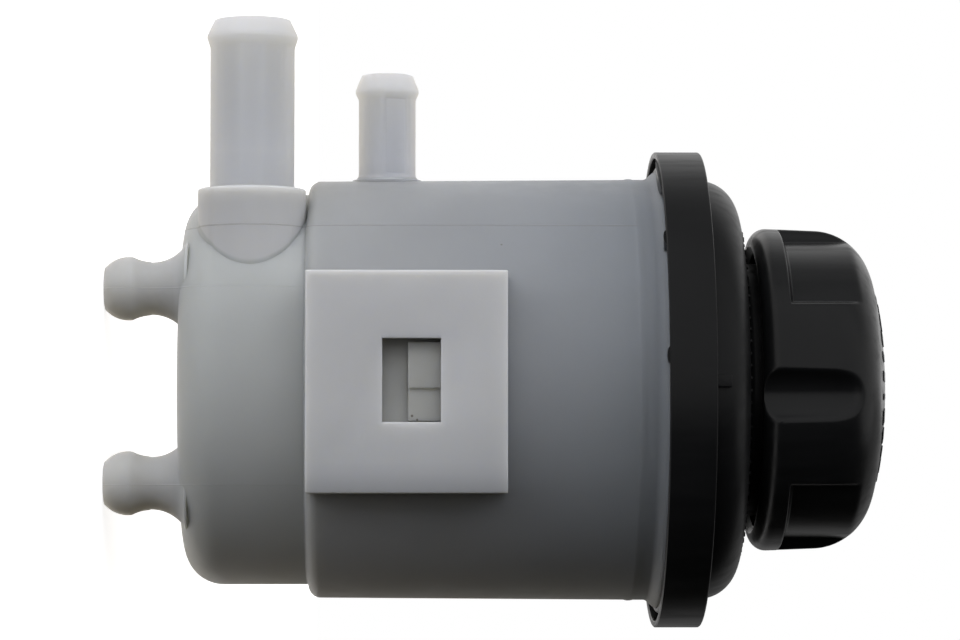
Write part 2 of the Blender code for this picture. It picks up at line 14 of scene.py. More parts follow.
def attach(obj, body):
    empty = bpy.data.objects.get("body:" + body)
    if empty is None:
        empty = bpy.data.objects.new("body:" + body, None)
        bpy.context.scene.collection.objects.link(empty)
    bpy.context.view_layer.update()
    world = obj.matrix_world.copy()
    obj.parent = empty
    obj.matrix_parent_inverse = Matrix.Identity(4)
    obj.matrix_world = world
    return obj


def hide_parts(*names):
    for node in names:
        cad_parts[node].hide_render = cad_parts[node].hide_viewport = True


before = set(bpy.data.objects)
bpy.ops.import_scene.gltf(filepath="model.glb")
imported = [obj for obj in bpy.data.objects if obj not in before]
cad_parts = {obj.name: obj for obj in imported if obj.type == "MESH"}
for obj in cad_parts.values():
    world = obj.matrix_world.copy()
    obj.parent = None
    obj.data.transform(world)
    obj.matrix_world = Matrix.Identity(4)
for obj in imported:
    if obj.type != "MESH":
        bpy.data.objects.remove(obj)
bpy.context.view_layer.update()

MM = 0.001
TINY = 1e-6

# Tank
WALL = 2.4
SUMP_R = 37.8
SUMP_CORNER = 7.3
STEP_Z = 23.8
BARREL_LOW_R = 40.4
BARREL_TOP_R = 40.85
BARREL_CORNER = 2.3
RIDGE_Z = 85.6
RIDGE_HEIGHT = 0.14
RIDGE_HALF_FOOT = 0.9
RIDGE_HALF_TOP = 0.3
FLARE_Z = 88.6
FLANGE_R = 42.4
FLANGE_Z = 91.0
TANK_TOP_Z = 95.0
INSIDE_CORNER = 5.0
LEDGE_Z = STEP_Z + WALL
PAST = 5.0

# Grommet pegs
PEG_X = 18.35
PEG_Y = -20.0
PEG_NECK_R = 4.95
PEG_NECK_Z = -5.4
PEG_FILLET = 7.6
PEG_ROOT_Z = 1.2
PEG_ROOT_INSIDE = 1.6
PEG_BALL_R = 5.9
PEG_BALL_Z = -9.75
PEG_BALL_NECK_Z = -8.95
PEG_TIP_Z = -14.3
PEG_TIP_EDGE = 0.3
PEG_FLASH = 0.12

# Hose pipes, with the flutes and facet edges of their shafts in degrees from -Y toward +Z
SUCTION = {"y": -20.2, "z": 13.4, "shaft": 7.98, "bead": 8.57, "tip": 7.3, "bore": 5.7,
           "reach": 69.3, "lead_in": 3.3, "lead_out": 2.2, "fillet": 0.3, "foot": 37.1,
           "bore_root": 21.5, "flutes": (-48.9, 50.1), "facets": (-13.3, 16.3)}
RETURN = {"y": 0.0, "z": 38.8, "shaft": 5.55, "bead": 6.15, "tip": 5.1, "bore": 3.8,
          "reach": 61.3, "lead_in": 3.2, "lead_out": 1.8, "fillet": 1.2, "foot": 40.2,
          "bore_root": 33.0, "flutes": (-44.2, 49.8), "facets": (-11.8,)}
BEAD_FLAT = 0.6
PIPE_ROOT = 34.0
FLUTE_HALF_DEG = 6.5
FLUTE_DEPTH = 0.12
FACET_SHARE = 0.35
COLLAR_R = 10.25
COLLAR_REACH = 37.1
COLLAR_ROOT = 14.0
COLLAR_FLUTE_DEG = -47.0
COLLAR_FLUTE_HALF_DEG = 4.0
COLLAR_STEP_DEG = 46.0
COLLAR_RELIEF = 0.09
COLLAR_EDGE = 0.25

# Bracket
BRACKET_HALF_X = 20.3
BRACKET_LOW_Z = 24.2
BRACKET_TOP_Z = 61.1
BRACKET_FRONT_Y = -45.5
BRACKET_BACK_Y = -34.0
BRACKET_PLATE = 2.2
BRACKET_ROUND = 0.25
SLOT_HALF_X = 15.5
SLOT_DEPTH = 2.5
SLOT_TOP_Z = 57.6
SLOT_FRONT_Y = BRACKET_FRONT_Y + BRACKET_PLATE
SLOT_BACK_Y = SLOT_FRONT_Y + SLOT_DEPTH
WINDOW_X = (-7.9, 7.4)
WINDOW_Z = (38.2, 48.9)
WINDOW_INTO_SLOT = 0.5
CATCH_Z = (42.9, 50.5)
CATCH_X = (-7.3, 7.2)
CATCH_SPLIT_X = 1.2
CATCH_HIGH = 2.1
CATCH_LOW = 1.5
CATCH_SUNK = 0.4
CATCH_EDGE = 0.25

# Lid
SKIRT_R = 46.2
SKIRT_WALL = 1.2
SKIRT_LOW_Z = 90.6
SKIRT_TOP_Z = 99.3
SKIRT_PLATE = 2.0
SKIRT_EDGE = 0.4
WELD_GAP = 0.3
WELD_RING_Z = 91.1
WELD_RING_R = (42.5, 43.4)
DOME_R = 40.7
DOME_ROUND = 7.2
DOME_SHOULDER_Z = 106.5
DOME_TOP_Z = 107.3
DOME_WALL = 2.2
NECK_R = 24.5
NECK_BORE = 22.2
NECK_TOP_Z = 125.4
NECK_FILLET = 1.0
NUB_X = (-1.5, 0.9)
NUB_Z = (98.9, 102.3)
NUB_HEIGHT = 0.9
NUB_SUNK = 1.0

# Weld flash under the skirt, from and to an angle from -Y toward -X
FLASHES_DEG = ((54.8, 74.0), (34.7, 38.6), (4.3, 8.1))
FLASH_R = (42.0, 45.4)
FLASH_Z = (90.1, 91.3)
FLASH_STEPS = 8

# Pips on the lid's flat top and marks on the cap's crown
PIPS = 90
PIP_R = 33.0
PIP_Z = 106.55
PIP_TILT_DEG = 5.7
PIP_WIDTH = 0.5
PIP_HEIGHT = 0.3
MARKS = 30
MARK_R = 18.4
MARK_DEPTH = 2.4
MARK_HEIGHT = 0.2
MARK_LENGTHS = (2.6, 1.6, 2.0, 1.2, 2.9)

# Screw thread
LEAD = 8.0
STARTS = 2
THREAD_BASE = 2.2
THREAD_CREST = 1.1
THREAD_HEIGHT = 1.6
THREAD_SHIFT_DEG = 2.0
THREAD_RUNOUT_DEG = 25.0
NECK_THREAD_Z = 117.6
NECK_THREAD_TURNS = 0.7
CAP_THREAD_Z = 115.6
CAP_THREAD_TURNS = 0.8

# Filler cap
CAP_R = 31.34
CAP_DRAFT_DEG = 1.98
CAP_RIM_Z = 109.35
CAP_RIM_ROUND = 3.1
CAP_SHOULDER = 11.1
CAP_SHOULDER_R = 19.87
CAP_SHOULDER_Z = 121.53
CAP_CROWN_DEG = 75.0
CAP_CROWN_STEPS = 14
CAP_TOP_Z = 135.24
CAP_TOP_WALL = 2.3
CAP_BORE = 26.9
CAP_SEAT_Z = 128.2
CAP_SEAT_R = 21.6
CAP_CEILING_Z = 130.2
CAP_MOUTH_R = 28.0
CAP_MOUTH_Z = 110.5
GRIPS = 3
GRIP_CENTRE_DEG = -86.4
RECESS_FLOOR_R = 28.8
RECESS_LOW_Z = 114.6
RECESS_HALF_FLOOR_DEG = 22.5
RECESS_HALF_TOP_DEG = 28.5
RECESS_PAST = 0.3
GROOVE_R = 5.9
GROOVE_DEPTH = 2.8
GROOVE_END_Z = 125.6
BOSS_R = 6.0
BOSS_BORE = 4.0
BOSS_LOW_Z = 125.0
VENT_X = 9.5
VENT_R = 0.8
VENT_SUNK = 1.0

# Filter gauze
GAUZE_R = 35.2
GAUZE_Z = 26.7
GAUZE_PITCH = 2.2
GAUZE_THREAD = 0.28
GAUZE_CRIMP = 0.9
GAUZE_SIDES = 5

# Facets of the fine surfaces
TANK_COLUMNS = 168
PIPE_COLUMNS = 144
PEG_COLUMNS = 72
LID_COLUMNS = 240
CAP_COLUMNS = 480

# Where the mould parts and where its inserts meet, as planes across X
PARTING_X = -29.85
INSERT_LOW_X = -18.1
INSERT_HIGH_X = 18.7

# Colours of the milky plastic by height, matched to the photo and partly painted shade: darker toward the
# lid
PLASTIC_AND_SHADE_BY_HEIGHT = (
    (0.0, (0.44, 0.45, 0.43)),
    (23.4, (0.44, 0.45, 0.43)),
    (24.2, (0.36, 0.365, 0.355)),
    (30.0, (0.35, 0.355, 0.35)),
    (63.0, (0.29, 0.30, 0.305)),
    (87.0, (0.22, 0.233, 0.243)),
)
# The same for thick pieces, by their reach toward the pipes from the bracket's far edge, partly painted
# light and shade: darker at the bracket's far edge, away from the light, and lighter toward the pipes on
# the light's side
THICK_AND_SHADE_BY_REACH = (
    (-20.3, (0.34, 0.345, 0.345)),
    (-16.8, (0.45, 0.455, 0.455)),
    (-14.7, (0.49, 0.495, 0.49)),
    (-4.0, (0.54, 0.54, 0.53)),
    (16.0, (0.54, 0.54, 0.53)),
    (20.3, (0.53, 0.53, 0.52)),
    (34.0, (0.53, 0.53, 0.52)),
    (44.0, (0.75, 0.745, 0.69)),
    (70.0, (0.77, 0.765, 0.71)),
)
# Painted light and shade: one even colour inside the bracket's window, in place of the slot's shadow and
# the light through the plastic
SHADED_PLASTIC = (0.44, 0.44, 0.41)
PEG_PLASTIC = (0.44, 0.44, 0.425)
# Dark colour of grime specks and of the parting line, and also the painted shade of the two pinholes
GRIME_AND_SHADE = (0.12, 0.10, 0.07)
GAUZE_WHITE = (0.5, 0.5, 0.46)
FILTER_WHITE = (0.62, 0.62, 0.57)

# Where the milky plastic is thick: beyond the barrel's or the sump's wall, and on the pegs
THICK_PAST_BARREL = (41.0, 41.5)
THICK_PAST_SUMP = (38.0, 38.4)
PEG_COLOUR_Z = (0.8, -1.2)
THIN_FLANGE_Z = (84.0, 86.0)

# How deep light goes in thin and in stout pieces, in metres, and where the pipes become stout
INSIDE_LIGHT = (0.005, 0.014)
PIPE_GLOW_REACH = (36.0, 38.0)

# The window's inside, which gets one even colour of painted light and shade, the mould's lines, and two
# pinholes in the catch painted dark as their shade, as centres and half sizes
WINDOW_BACK_Y = -39.0
WINDOW_MARGIN = 0.5
PARTING_TOP_Z = (86.5, 85.5)
PARTING_HALF = 0.16
INSERT_HALF = 0.14
PINHOLE_SHADES = (((6.2, -42.3, 43.65), (0.3, 0.8, 0.3)), ((6.9, -42.3, 44.6), (0.25, 0.8, 0.25)))

# Gloss, smoothest roughness and the roughness that scuffs add, of the two black mouldings
LID_FINISH = {"gloss": 0.14, "roughness": 0.33, "scratches": 0.12}
CAP_FINISH = {"gloss": 0.18, "roughness": 0.28, "scratches": 0.15}
SCUFF_STRETCH = (1.0, 1.0, 0.12)

# Lightness and warmth of the black plastic's two shades, and the lightness of its dust
BLACKS = ((0.005, -0.02), (0.007, -0.03))
DUST_GREY = 0.12
PLASTIC_IOR = 1.5

# Studio: a long light on the pipes' side, a warmer one behind, and cards that show in the gloss
KEY_SIDE_DEG = 45.0
KEY_COLOUR = (2.0, 2.04, 2.2)
KEY_FOCUS = 5.0
BACK_SIDE_DEG = 180.0
BACK_COLOUR = (1.34, 1.21, 1.04)
BACK_FOCUS = 3.0
AMBIENT_COLOUR = (0.016, 0.012, 0.004)
CARDS = (
    ("dark_card", 10.0, 128.0, 0.0),
    ("shaded_card", 128.0, 180.0, 0.3),
    ("grey_card", -112.0, -72.0, 0.5),
)
CARD_RADIUS = 0.42
CARD_TOP = 1.2
CARD_STEP_DEG = 4.0
FLOOR_HALF = 1.5
FLOOR_GLOW = 0.75
FLOOR_GAP = 0.02

# Camera: what it aims at on the photo, in pixels, and how far it is turned
PHOTO_PX = (960.0, 640.0)
AXIS_ROW_PX = 389.5
ORIGIN_COLUMN_PX = 188.0
MM_PER_PX = 0.195
FOCAL_PX = 3450.0
SENSOR_WIDTH = 36.0
CAMERA_YAW_DEG = 1.2
CAMERA_TILT_DEG = 3.0


def arc(centre, radius, start_deg, end_deg, steps):
    """Points of a round corner, from one angle to another, both ends included."""
    angles = [math.radians(start_deg + (end_deg - start_deg) * i / steps) for i in range(steps + 1)]
    return [(centre[0] + radius * math.cos(a), centre[1] + radius * math.sin(a)) for a in angles]


def filled(points, spacing):
    """The same outline with points added, so that no stretch is longer than the spacing."""
    result = [points[0]]
    for start, end in zip(points, points[1:]):
        count = max(1, math.ceil(math.dist(start, end) / spacing))
        for i in range(1, count + 1):
            share = i / count
            across = start[0] + (end[0] - start[0]) * share
            up = start[1] + (end[1] - start[1]) * share
            result.append((across, up))
    return result


def new_object(name, form):
    """An object of the scene from a finished bmesh."""
    mesh = bpy.data.meshes.new(name)
    form.to_mesh(mesh)
    form.free()
    made = bpy.data.objects.new(name, mesh)
    bpy.context.scene.collection.objects.link(made)
    return made


def lathe(name, outline, columns, closed=False, shape=None):
    """A turned solid. shape(radius, height, angle) may move each point's radius."""
    form = bmesh.new()
    rings = []
    for radius, height in outline:
        if radius < TINY:
            rings.append([form.verts.new((0.0, 0.0, height * MM))])
            continue
        ring = []
        for i in range(columns):
            angle = math.tau * i / columns
            across = shape(radius, height, angle) if shape else radius
            point = (across * math.cos(angle), across * math.sin(angle), height)
            ring.append(form.verts.new(Vector(point) * MM))
        rings.append(ring)
    pairs = list(zip(rings, rings[1:]))
    if closed:
        pairs.append((rings[-1], rings[0]))
    for upper, lower in pairs:
        for i in range(columns):
            j = (i + 1) % columns
            if len(upper) == 1:
                corners = (upper[0], lower[i], lower[j])
            elif len(lower) == 1:
                corners = (upper[i], lower[0], upper[j])
            else:
                corners = (upper[i], lower[i], lower[j], upper[j])
            form.faces.new(corners)
    bmesh.ops.recalc_face_normals(form, faces=form.faces)
    return new_object(name, form)


def block(name, low, high, rounding=0.0):
    """A box between two corners, its edges rounded if asked."""
    form = bmesh.new()
    bmesh.ops.create_cube(form, size=1.0)
    size = Matrix.Diagonal([(high[i] - low[i]) * MM for i in range(3)] + [1.0])
    middle = Matrix.Translation([(high[i] + low[i]) * 0.5 * MM for i in range(3)])
    form.transform(middle @ size)
    if rounding:
        edges = form.edges[:]
        bmesh.ops.bevel(form, geom=edges, offset=rounding * MM, segments=3, profile=0.5, affect="EDGES")
    return new_object(name, form)


def along_pipe(made, pipe, facets_turned=0.0):
    """Turn an upright piece so that it points along -X on a pipe's axis."""
    spin = Matrix.Rotation(math.tau * facets_turned / PIPE_COLUMNS, 4, "Z")
    lay = Matrix.Rotation(-math.pi / 2.0, 4, "Y")
    made.data.transform(Matrix.Translation((0.0, pipe["y"] * MM, pipe["z"] * MM)) @ lay @ spin)
    return made


def combine(target, tools, operation):
    """Join tools to a solid or cut them away, and remove them."""
    for tool in tools:
        boolean = target.modifiers.new(tool.name, "BOOLEAN")
        boolean.operation = operation
        boolean.solver = "EXACT"
        boolean.object = tool
    bake_modifiers(target)
    for tool in tools:
        bpy.data.objects.remove(tool)
    return target


def bake_modifiers(made):
    """Replace an object's mesh with what its modifiers make of it."""
    graph = bpy.context.evaluated_depsgraph_get()
    mesh = bpy.data.meshes.new_from_object(made.evaluated_get(graph))
    made.modifiers.clear()
    made.data = mesh


def smooth(made, angle_deg=32.0):
    """Smooth shading that keeps the edges sharper than an angle."""
    made.data.shade_smooth()
    made.data.set_sharp_from_angle(angle=math.radians(angle_deg))
    return made


def ramp(value, low, high):
    """A smooth step from 0 at low to 1 at high."""
    share = min(1.0, max(0.0, (value - low) / (high - low)))
    return share * share * (3.0 - 2.0 * share)


def rounded_min(a, b, rounding):
    """The smaller of two lengths, blended where they are nearly equal."""
    share = max(0.0, rounding - abs(a - b)) / rounding
    return min(a, b) - share * share * rounding * 0.25


def angle_from(angle, centre_deg):
    """Signed angle in degrees from a centre, between -180 and 180."""
    return (math.degrees(angle) - centre_deg + 180.0) % 360.0 - 180.0


def thread_rise(height, angle, start_z, turns):
    """Share of the thread's full height at a point, over all starts, with run-outs at the ends."""
    best = 0.0
    for start in range(STARTS):
        turned_deg = angle_from(angle, THREAD_SHIFT_DEG + 360.0 * start / STARTS) % 360.0
        for lap in range(-1, 3):
            along_deg = turned_deg + 360.0 * lap
            ends = ramp(along_deg, 0.0, THREAD_RUNOUT_DEG)
            ends *= 1.0 - ramp(along_deg, 360.0 * turns - THREAD_RUNOUT_DEG, 360.0 * turns)
            if ends <= 0.0:
                continue
            off = abs(height - start_z - LEAD * along_deg / 360.0)
            flank = 1.0 - ramp(off, THREAD_CREST / 2.0, THREAD_BASE / 2.0)
            best = max(best, flank * ends)
    return best


def tank_outline():
    """Outer side of the tank, from the weld flange down to the middle of its floor."""
    step_centre = (BARREL_LOW_R - BARREL_CORNER, STEP_Z + BARREL_CORNER)
    floor_centre = (SUMP_R - SUMP_CORNER, SUMP_CORNER)
    ridge = [
        (BARREL_TOP_R, RIDGE_Z + RIDGE_HALF_FOOT),
        (BARREL_TOP_R + RIDGE_HEIGHT, RIDGE_Z + RIDGE_HALF_TOP),
        (BARREL_TOP_R + RIDGE_HEIGHT, RIDGE_Z - RIDGE_HALF_TOP),
        (BARREL_TOP_R - 0.02, RIDGE_Z - RIDGE_HALF_FOOT),
    ]
    flare = [(BARREL_TOP_R + (FLANGE_R - BARREL_TOP_R) * ramp(z, FLARE_Z, FLANGE_Z), z)
             for z in [FLANGE_Z - 0.5 * i for i in range(5)] + [FLARE_Z]]
    outline = [(0.0, TANK_TOP_Z), (FLANGE_R, TANK_TOP_Z)] + flare + ridge
    outline += arc(step_centre, BARREL_CORNER, 0.0, -86.0, 10)
    outline += [(SUMP_R + 0.25, STEP_Z + 0.02), (SUMP_R, STEP_Z - 0.3)]
    outline += arc(floor_centre, SUMP_CORNER, 0.0, -90.0, 14)
    outline += [(0.0, 0.0)]
    return outline


def tank_inside():
    """The space inside the tank: barrel, ledge and sump."""
    barrel_top_r = BARREL_TOP_R - WALL
    barrel_low_r = BARREL_LOW_R - WALL
    sump_r = SUMP_R - WALL
    floor_centre = (sump_r - INSIDE_CORNER, WALL + INSIDE_CORNER)
    outline = [(0.0, TANK_TOP_Z + PAST), (barrel_top_r, TANK_TOP_Z + PAST), (barrel_top_r, FLARE_Z)]
    outline += [(barrel_low_r, LEDGE_Z), (sump_r, LEDGE_Z)]
    outline += arc(floor_centre, INSIDE_CORNER, 0.0, -90.0, 8)
    outline += [(0.0, WALL)]
    return outline


def pipe_outline(pipe):
    """A hose pipe upright on its root: rounded lip, lead-in, bead, shaft and foot."""
    crest = pipe["reach"] - pipe["lead_in"]
    foot, fillet, shaft = pipe["foot"], pipe["fillet"], pipe["shaft"]
    outline = [
        (0.0, pipe["reach"]),
        (pipe["tip"] - 0.3, pipe["reach"]),
        (pipe["tip"] - 0.08, pipe["reach"] - 0.1),
        (pipe["tip"] + 0.03, pipe["reach"] - 0.35),
        (pipe["bead"] - 0.1, crest + BEAD_FLAT * 0.9),
        (pipe["bead"], crest + BEAD_FLAT * 0.35),
        (pipe["bead"], crest - BEAD_FLAT * 0.35),
        (pipe["bead"] - 0.1, crest - BEAD_FLAT * 0.9),
        (shaft + 0.05, crest - pipe["lead_out"] + 0.3),
        (shaft, crest - pipe["lead_out"]),
    ]
    outline += arc((shaft + fillet, foot + fillet * 1.4), fillet, 180.0, 270.0, 6)
    outline += [(shaft + fillet, PIPE_ROOT), (0.0, PIPE_ROOT)]
    return outline


def around_pipe(angle):
    """Angle on a laid pipe from the -Y side toward +Z in degrees, the back mirrored to the front."""
    turned = angle_from(angle, -90.0)
    if abs(turned) > 90.0:
        turned = math.copysign(180.0, turned) - turned
    return turned


def fluted(pipe):
    """The facets and the shallow flutes along a pipe's shaft, left by the mould's slides."""
    top = pipe["reach"] - pipe["lead_in"] - pipe["lead_out"]
    edges = sorted(pipe["flutes"] + pipe["facets"])

    def shape(radius, height, angle):
        if height > top or abs(radius - pipe["shaft"]) > 0.02:
            return radius
        turned = around_pipe(angle)
        result = radius
        for low, high in zip(edges, edges[1:]):
            if low < turned < high:
                middle, half = (low + high) / 2.0, math.radians(high - low) / 2.0
                chord = math.cos(half) / math.cos(math.radians(turned - middle))
                result = radius * (1.0 - FACET_SHARE * (1.0 - chord))
        depth = max(1.0 - ramp(abs(turned - flute), 0.0, FLUTE_HALF_DEG) for flute in pipe["flutes"])
        return result - FLUTE_DEPTH * depth

    return shape


def collar_shape(radius, height, angle):
    """The collar's one flute and its one low step, in line with those of its pipe."""
    if radius < COLLAR_R - 0.3:
        return radius
    turned = around_pipe(angle)
    flute = 1.0 - ramp(abs(turned - COLLAR_FLUTE_DEG), COLLAR_FLUTE_HALF_DEG * 0.4, COLLAR_FLUTE_HALF_DEG)
    step = ramp(turned, COLLAR_STEP_DEG - 0.8, COLLAR_STEP_DEG + 0.8)
    return radius - COLLAR_RELIEF * max(flute, step)


def peg_outline():
    """A grommet peg: one hollow curve from the root to the neck and down to a ball with a flat end."""
    waist = []
    for i in range(21):
        height = PEG_ROOT_Z + (PEG_BALL_NECK_Z - PEG_ROOT_Z) * i / 20.0
        across = math.sqrt(PEG_FILLET ** 2 - (height - PEG_NECK_Z) ** 2)
        waist.append((PEG_NECK_R + PEG_FILLET - across, height))
    top_deg = math.degrees(math.asin((PEG_BALL_NECK_Z - PEG_BALL_Z) / PEG_BALL_R))
    tip_deg = math.degrees(math.asin((PEG_TIP_Z + PEG_TIP_EDGE - PEG_BALL_Z) / PEG_BALL_R))
    ball = arc((0.0, PEG_BALL_Z), PEG_BALL_R, top_deg, tip_deg, 16)
    outline = [(0.0, PEG_ROOT_INSIDE), (waist[0][0], PEG_ROOT_INSIDE)] + waist + ball[1:]
    outline += [(ball[-1][0] - PEG_TIP_EDGE * 0.4, PEG_TIP_Z + PEG_TIP_EDGE * 0.3)]
    outline += [(ball[-1][0] - PEG_TIP_EDGE * 1.4, PEG_TIP_Z), (0.0, PEG_TIP_Z)]
    return outline


def peg_flash(radius, height, angle):
    """The fine parting flash on the two sides of a peg's ball."""
    if height > PEG_NECK_Z or radius < PEG_NECK_R * 0.7:
        return radius
    off = min(abs(angle_from(angle, 0.0)), abs(angle_from(angle, 180.0)))
    return radius + PEG_FLASH * (1.0 - ramp(off, 0.0, 180.0 / PEG_COLUMNS * 2.0))


def make_collar():
    """The round collar at the suction pipe's root, its facets turned by half a facet."""
    outline = [(0.0, COLLAR_REACH), (COLLAR_R - COLLAR_EDGE, COLLAR_REACH)]
    outline += [(COLLAR_R, COLLAR_REACH - COLLAR_EDGE), (COLLAR_R, COLLAR_ROOT), (0.0, COLLAR_ROOT)]
    collar = lathe("suction_collar", outline, PIPE_COLUMNS, shape=collar_shape)
    return along_pipe(collar, SUCTION, 0.5)


def make_peg(side):
    """One grommet peg, on the side -1 or 1 across X."""
    peg = lathe("peg", peg_outline(), PEG_COLUMNS, shape=peg_flash)
    peg.data.transform(Matrix.Translation((side * PEG_X * MM, PEG_Y * MM, 0.0)))
    return peg


def make_bore(name, pipe):
    """The space inside a pipe, from past its end to inside the tank."""
    outline = [(0.0, pipe["reach"] + PAST), (pipe["bore"], pipe["reach"] + PAST)]
    outline += [(pipe["bore"], pipe["bore_root"]), (0.0, pipe["bore_root"])]
    return along_pipe(lathe(name, outline, PIPE_COLUMNS), pipe, 0.5)


def bracket_cuts():
    """The slot behind the bracket's plate and the window through the plate."""
    slot_low = (-SLOT_HALF_X, SLOT_FRONT_Y, BRACKET_LOW_Z - PAST)
    slot = block("slot", slot_low, (SLOT_HALF_X, SLOT_BACK_Y, SLOT_TOP_Z))
    window_low = (WINDOW_X[0], BRACKET_FRONT_Y - PAST, WINDOW_Z[0])
    window = block("window", window_low, (WINDOW_X[1], SLOT_FRONT_Y + WINDOW_INTO_SLOT, WINDOW_Z[1]))
    return [slot, window]


def make_catches():
    """The two steps of the catch on the slot's back wall, behind the window."""
    steps = (
        (CATCH_X[0], CATCH_SPLIT_X, CATCH_HIGH),
        (CATCH_SPLIT_X - CATCH_SUNK, CATCH_X[1], CATCH_LOW),
    )
    catches = []
    for low_x, high_x, height in steps:
        low = (low_x, SLOT_BACK_Y - height, CATCH_Z[0])
        high = (high_x, SLOT_BACK_Y + CATCH_SUNK, CATCH_Z[1])
        catches.append(block("catch", low, high, CATCH_EDGE))
    return catches


def make_tank():
    """The one-piece tank: cup, bracket, pipes and pegs."""
    tank = lathe("tank_moulding", filled(tank_outline(), 12.0), TANK_COLUMNS)
    bracket_low = (-BRACKET_HALF_X, BRACKET_FRONT_Y, BRACKET_LOW_Z)
    bracket_high = (BRACKET_HALF_X, BRACKET_BACK_Y, BRACKET_TOP_Z)
    added = [block("bracket_block", bracket_low, bracket_high, BRACKET_ROUND), make_collar()]
    for name, pipe in (("suction_pipe", SUCTION), ("return_pipe", RETURN)):
        upright = lathe(name, pipe_outline(pipe), PIPE_COLUMNS, shape=fluted(pipe))
        added.append(along_pipe(upright, pipe))
    added += [make_peg(side) for side in (-1.0, 1.0)]
    combine(tank, added, "UNION")
    cut = [lathe("inside", tank_inside(), TANK_COLUMNS)]
    cut += [make_bore(name, pipe) for name, pipe in (("suction_bore", SUCTION), ("return_bore", RETURN))]
    combine(tank, cut + bracket_cuts(), "DIFFERENCE")
    combine(tank, make_catches(), "UNION")
    return smooth(tank)


def lid_outline():
    """Section of the lid: threaded neck, dome, the skirt over the weld and the ring inside it."""
    dome_centre = (DOME_R - DOME_ROUND, DOME_SHOULDER_Z - DOME_ROUND)
    inner_round = DOME_ROUND - DOME_WALL
    inner_r = DOME_R - DOME_WALL
    inner_top = DOME_TOP_Z - DOME_WALL
    weld_z = TANK_TOP_Z + WELD_GAP
    plate_z = SKIRT_TOP_Z - SKIRT_PLATE
    thread_foot = NECK_THREAD_Z - 2.0
    neck = filled([(NECK_R, NECK_TOP_Z - 0.3), (NECK_R, thread_foot)], 0.3)
    outline = [(NECK_R - 0.3, NECK_TOP_Z)] + neck
    outline += arc((NECK_R + NECK_FILLET, DOME_TOP_Z + NECK_FILLET), NECK_FILLET, 180.0, 270.0, 4)
    outline += arc(dome_centre, DOME_ROUND, 90.0, 2.0, 22)
    outline += [(DOME_R + 0.06, SKIRT_TOP_Z + 0.12), (DOME_R + 0.25, SKIRT_TOP_Z)]
    outline += arc((SKIRT_R - SKIRT_EDGE, SKIRT_TOP_Z - SKIRT_EDGE), SKIRT_EDGE, 90.0, 0.0, 5)
    outline += [(SKIRT_R, SKIRT_LOW_Z + 0.2), (SKIRT_R - 0.2, SKIRT_LOW_Z)]
    outline += [(SKIRT_R - SKIRT_WALL + 0.2, SKIRT_LOW_Z), (SKIRT_R - SKIRT_WALL, SKIRT_LOW_Z + 0.2)]
    outline += [(SKIRT_R - SKIRT_WALL, plate_z), (WELD_RING_R[1], plate_z)]
    outline += [(WELD_RING_R[1], WELD_RING_Z + 0.3), (WELD_RING_R[1] - 0.3, WELD_RING_Z)]
    outline += [(WELD_RING_R[0], WELD_RING_Z), (WELD_RING_R[0], weld_z), (inner_r, weld_z)]
    outline += arc(dome_centre, inner_round, 0.0, 90.0, 8)
    outline += [(NECK_BORE, inner_top), (NECK_BORE, NECK_TOP_Z - 0.3), (NECK_BORE + 0.3, NECK_TOP_Z)]
    return outline


def neck_thread(radius, height, angle):
    """The two-start thread on the outside of the filler neck."""
    if abs(radius - NECK_R) > TINY or height < NECK_THREAD_Z - 2.1:
        return radius
    return radius + THREAD_HEIGHT * thread_rise(height, angle, NECK_THREAD_Z, NECK_THREAD_TURNS)


def flash_bead(start_deg, end_deg):
    """A bead of weld flash between two angles, thin at both ends."""
    form = bmesh.new()
    middle_z = (FLASH_Z[0] + FLASH_Z[1]) / 2.0
    sections = []
    for i in range(FLASH_STEPS + 1):
        share = i / FLASH_STEPS
        angle = math.radians(start_deg + (end_deg - start_deg) * share)
        full = 0.3 + 0.7 * math.sin(math.pi * share) ** 0.5
        inner_r = FLASH_R[1] + (FLASH_R[0] - FLASH_R[1]) * full
        half_z = (FLASH_Z[1] - FLASH_Z[0]) / 2.0 * full
        section = []
        for radius, height in (
            (inner_r, middle_z - half_z * 0.6),
            (FLASH_R[1], middle_z - half_z),
            (FLASH_R[1], middle_z + half_z),
            (inner_r, middle_z + half_z * 0.6),
        ):
            point = (-radius * math.sin(angle), -radius * math.cos(angle), height)
            section.append(form.verts.new(Vector(point) * MM))
        sections.append(section)
    for first, second in zip(sections, sections[1:]):
        for k in range(4):
            form.faces.new((first[k], first[(k + 1) % 4], second[(k + 1) % 4], second[k]))
    form.faces.new(sections[0])
    form.faces.new(sections[-1][::-1])
    bmesh.ops.recalc_face_normals(form, faces=form.faces)
    return new_object("weld_flash", form)


def make_lid():
    """The welded lid with its thread, its index nub and the flash of its weld."""
    lid = lathe("lid_moulding", lid_outline(), LID_COLUMNS, closed=True, shape=neck_thread)
    added = [flash_bead(start_deg, end_deg) for start_deg, end_deg in FLASHES_DEG]
    nub_low = (NUB_X[0], -DOME_R - NUB_HEIGHT, NUB_Z[0])
    added.append(block("nub", nub_low, (NUB_X[1], -DOME_R + NUB_SUNK, NUB_Z[1]), 0.2))
    combine(lid, added, "UNION")
    return smooth(lid)


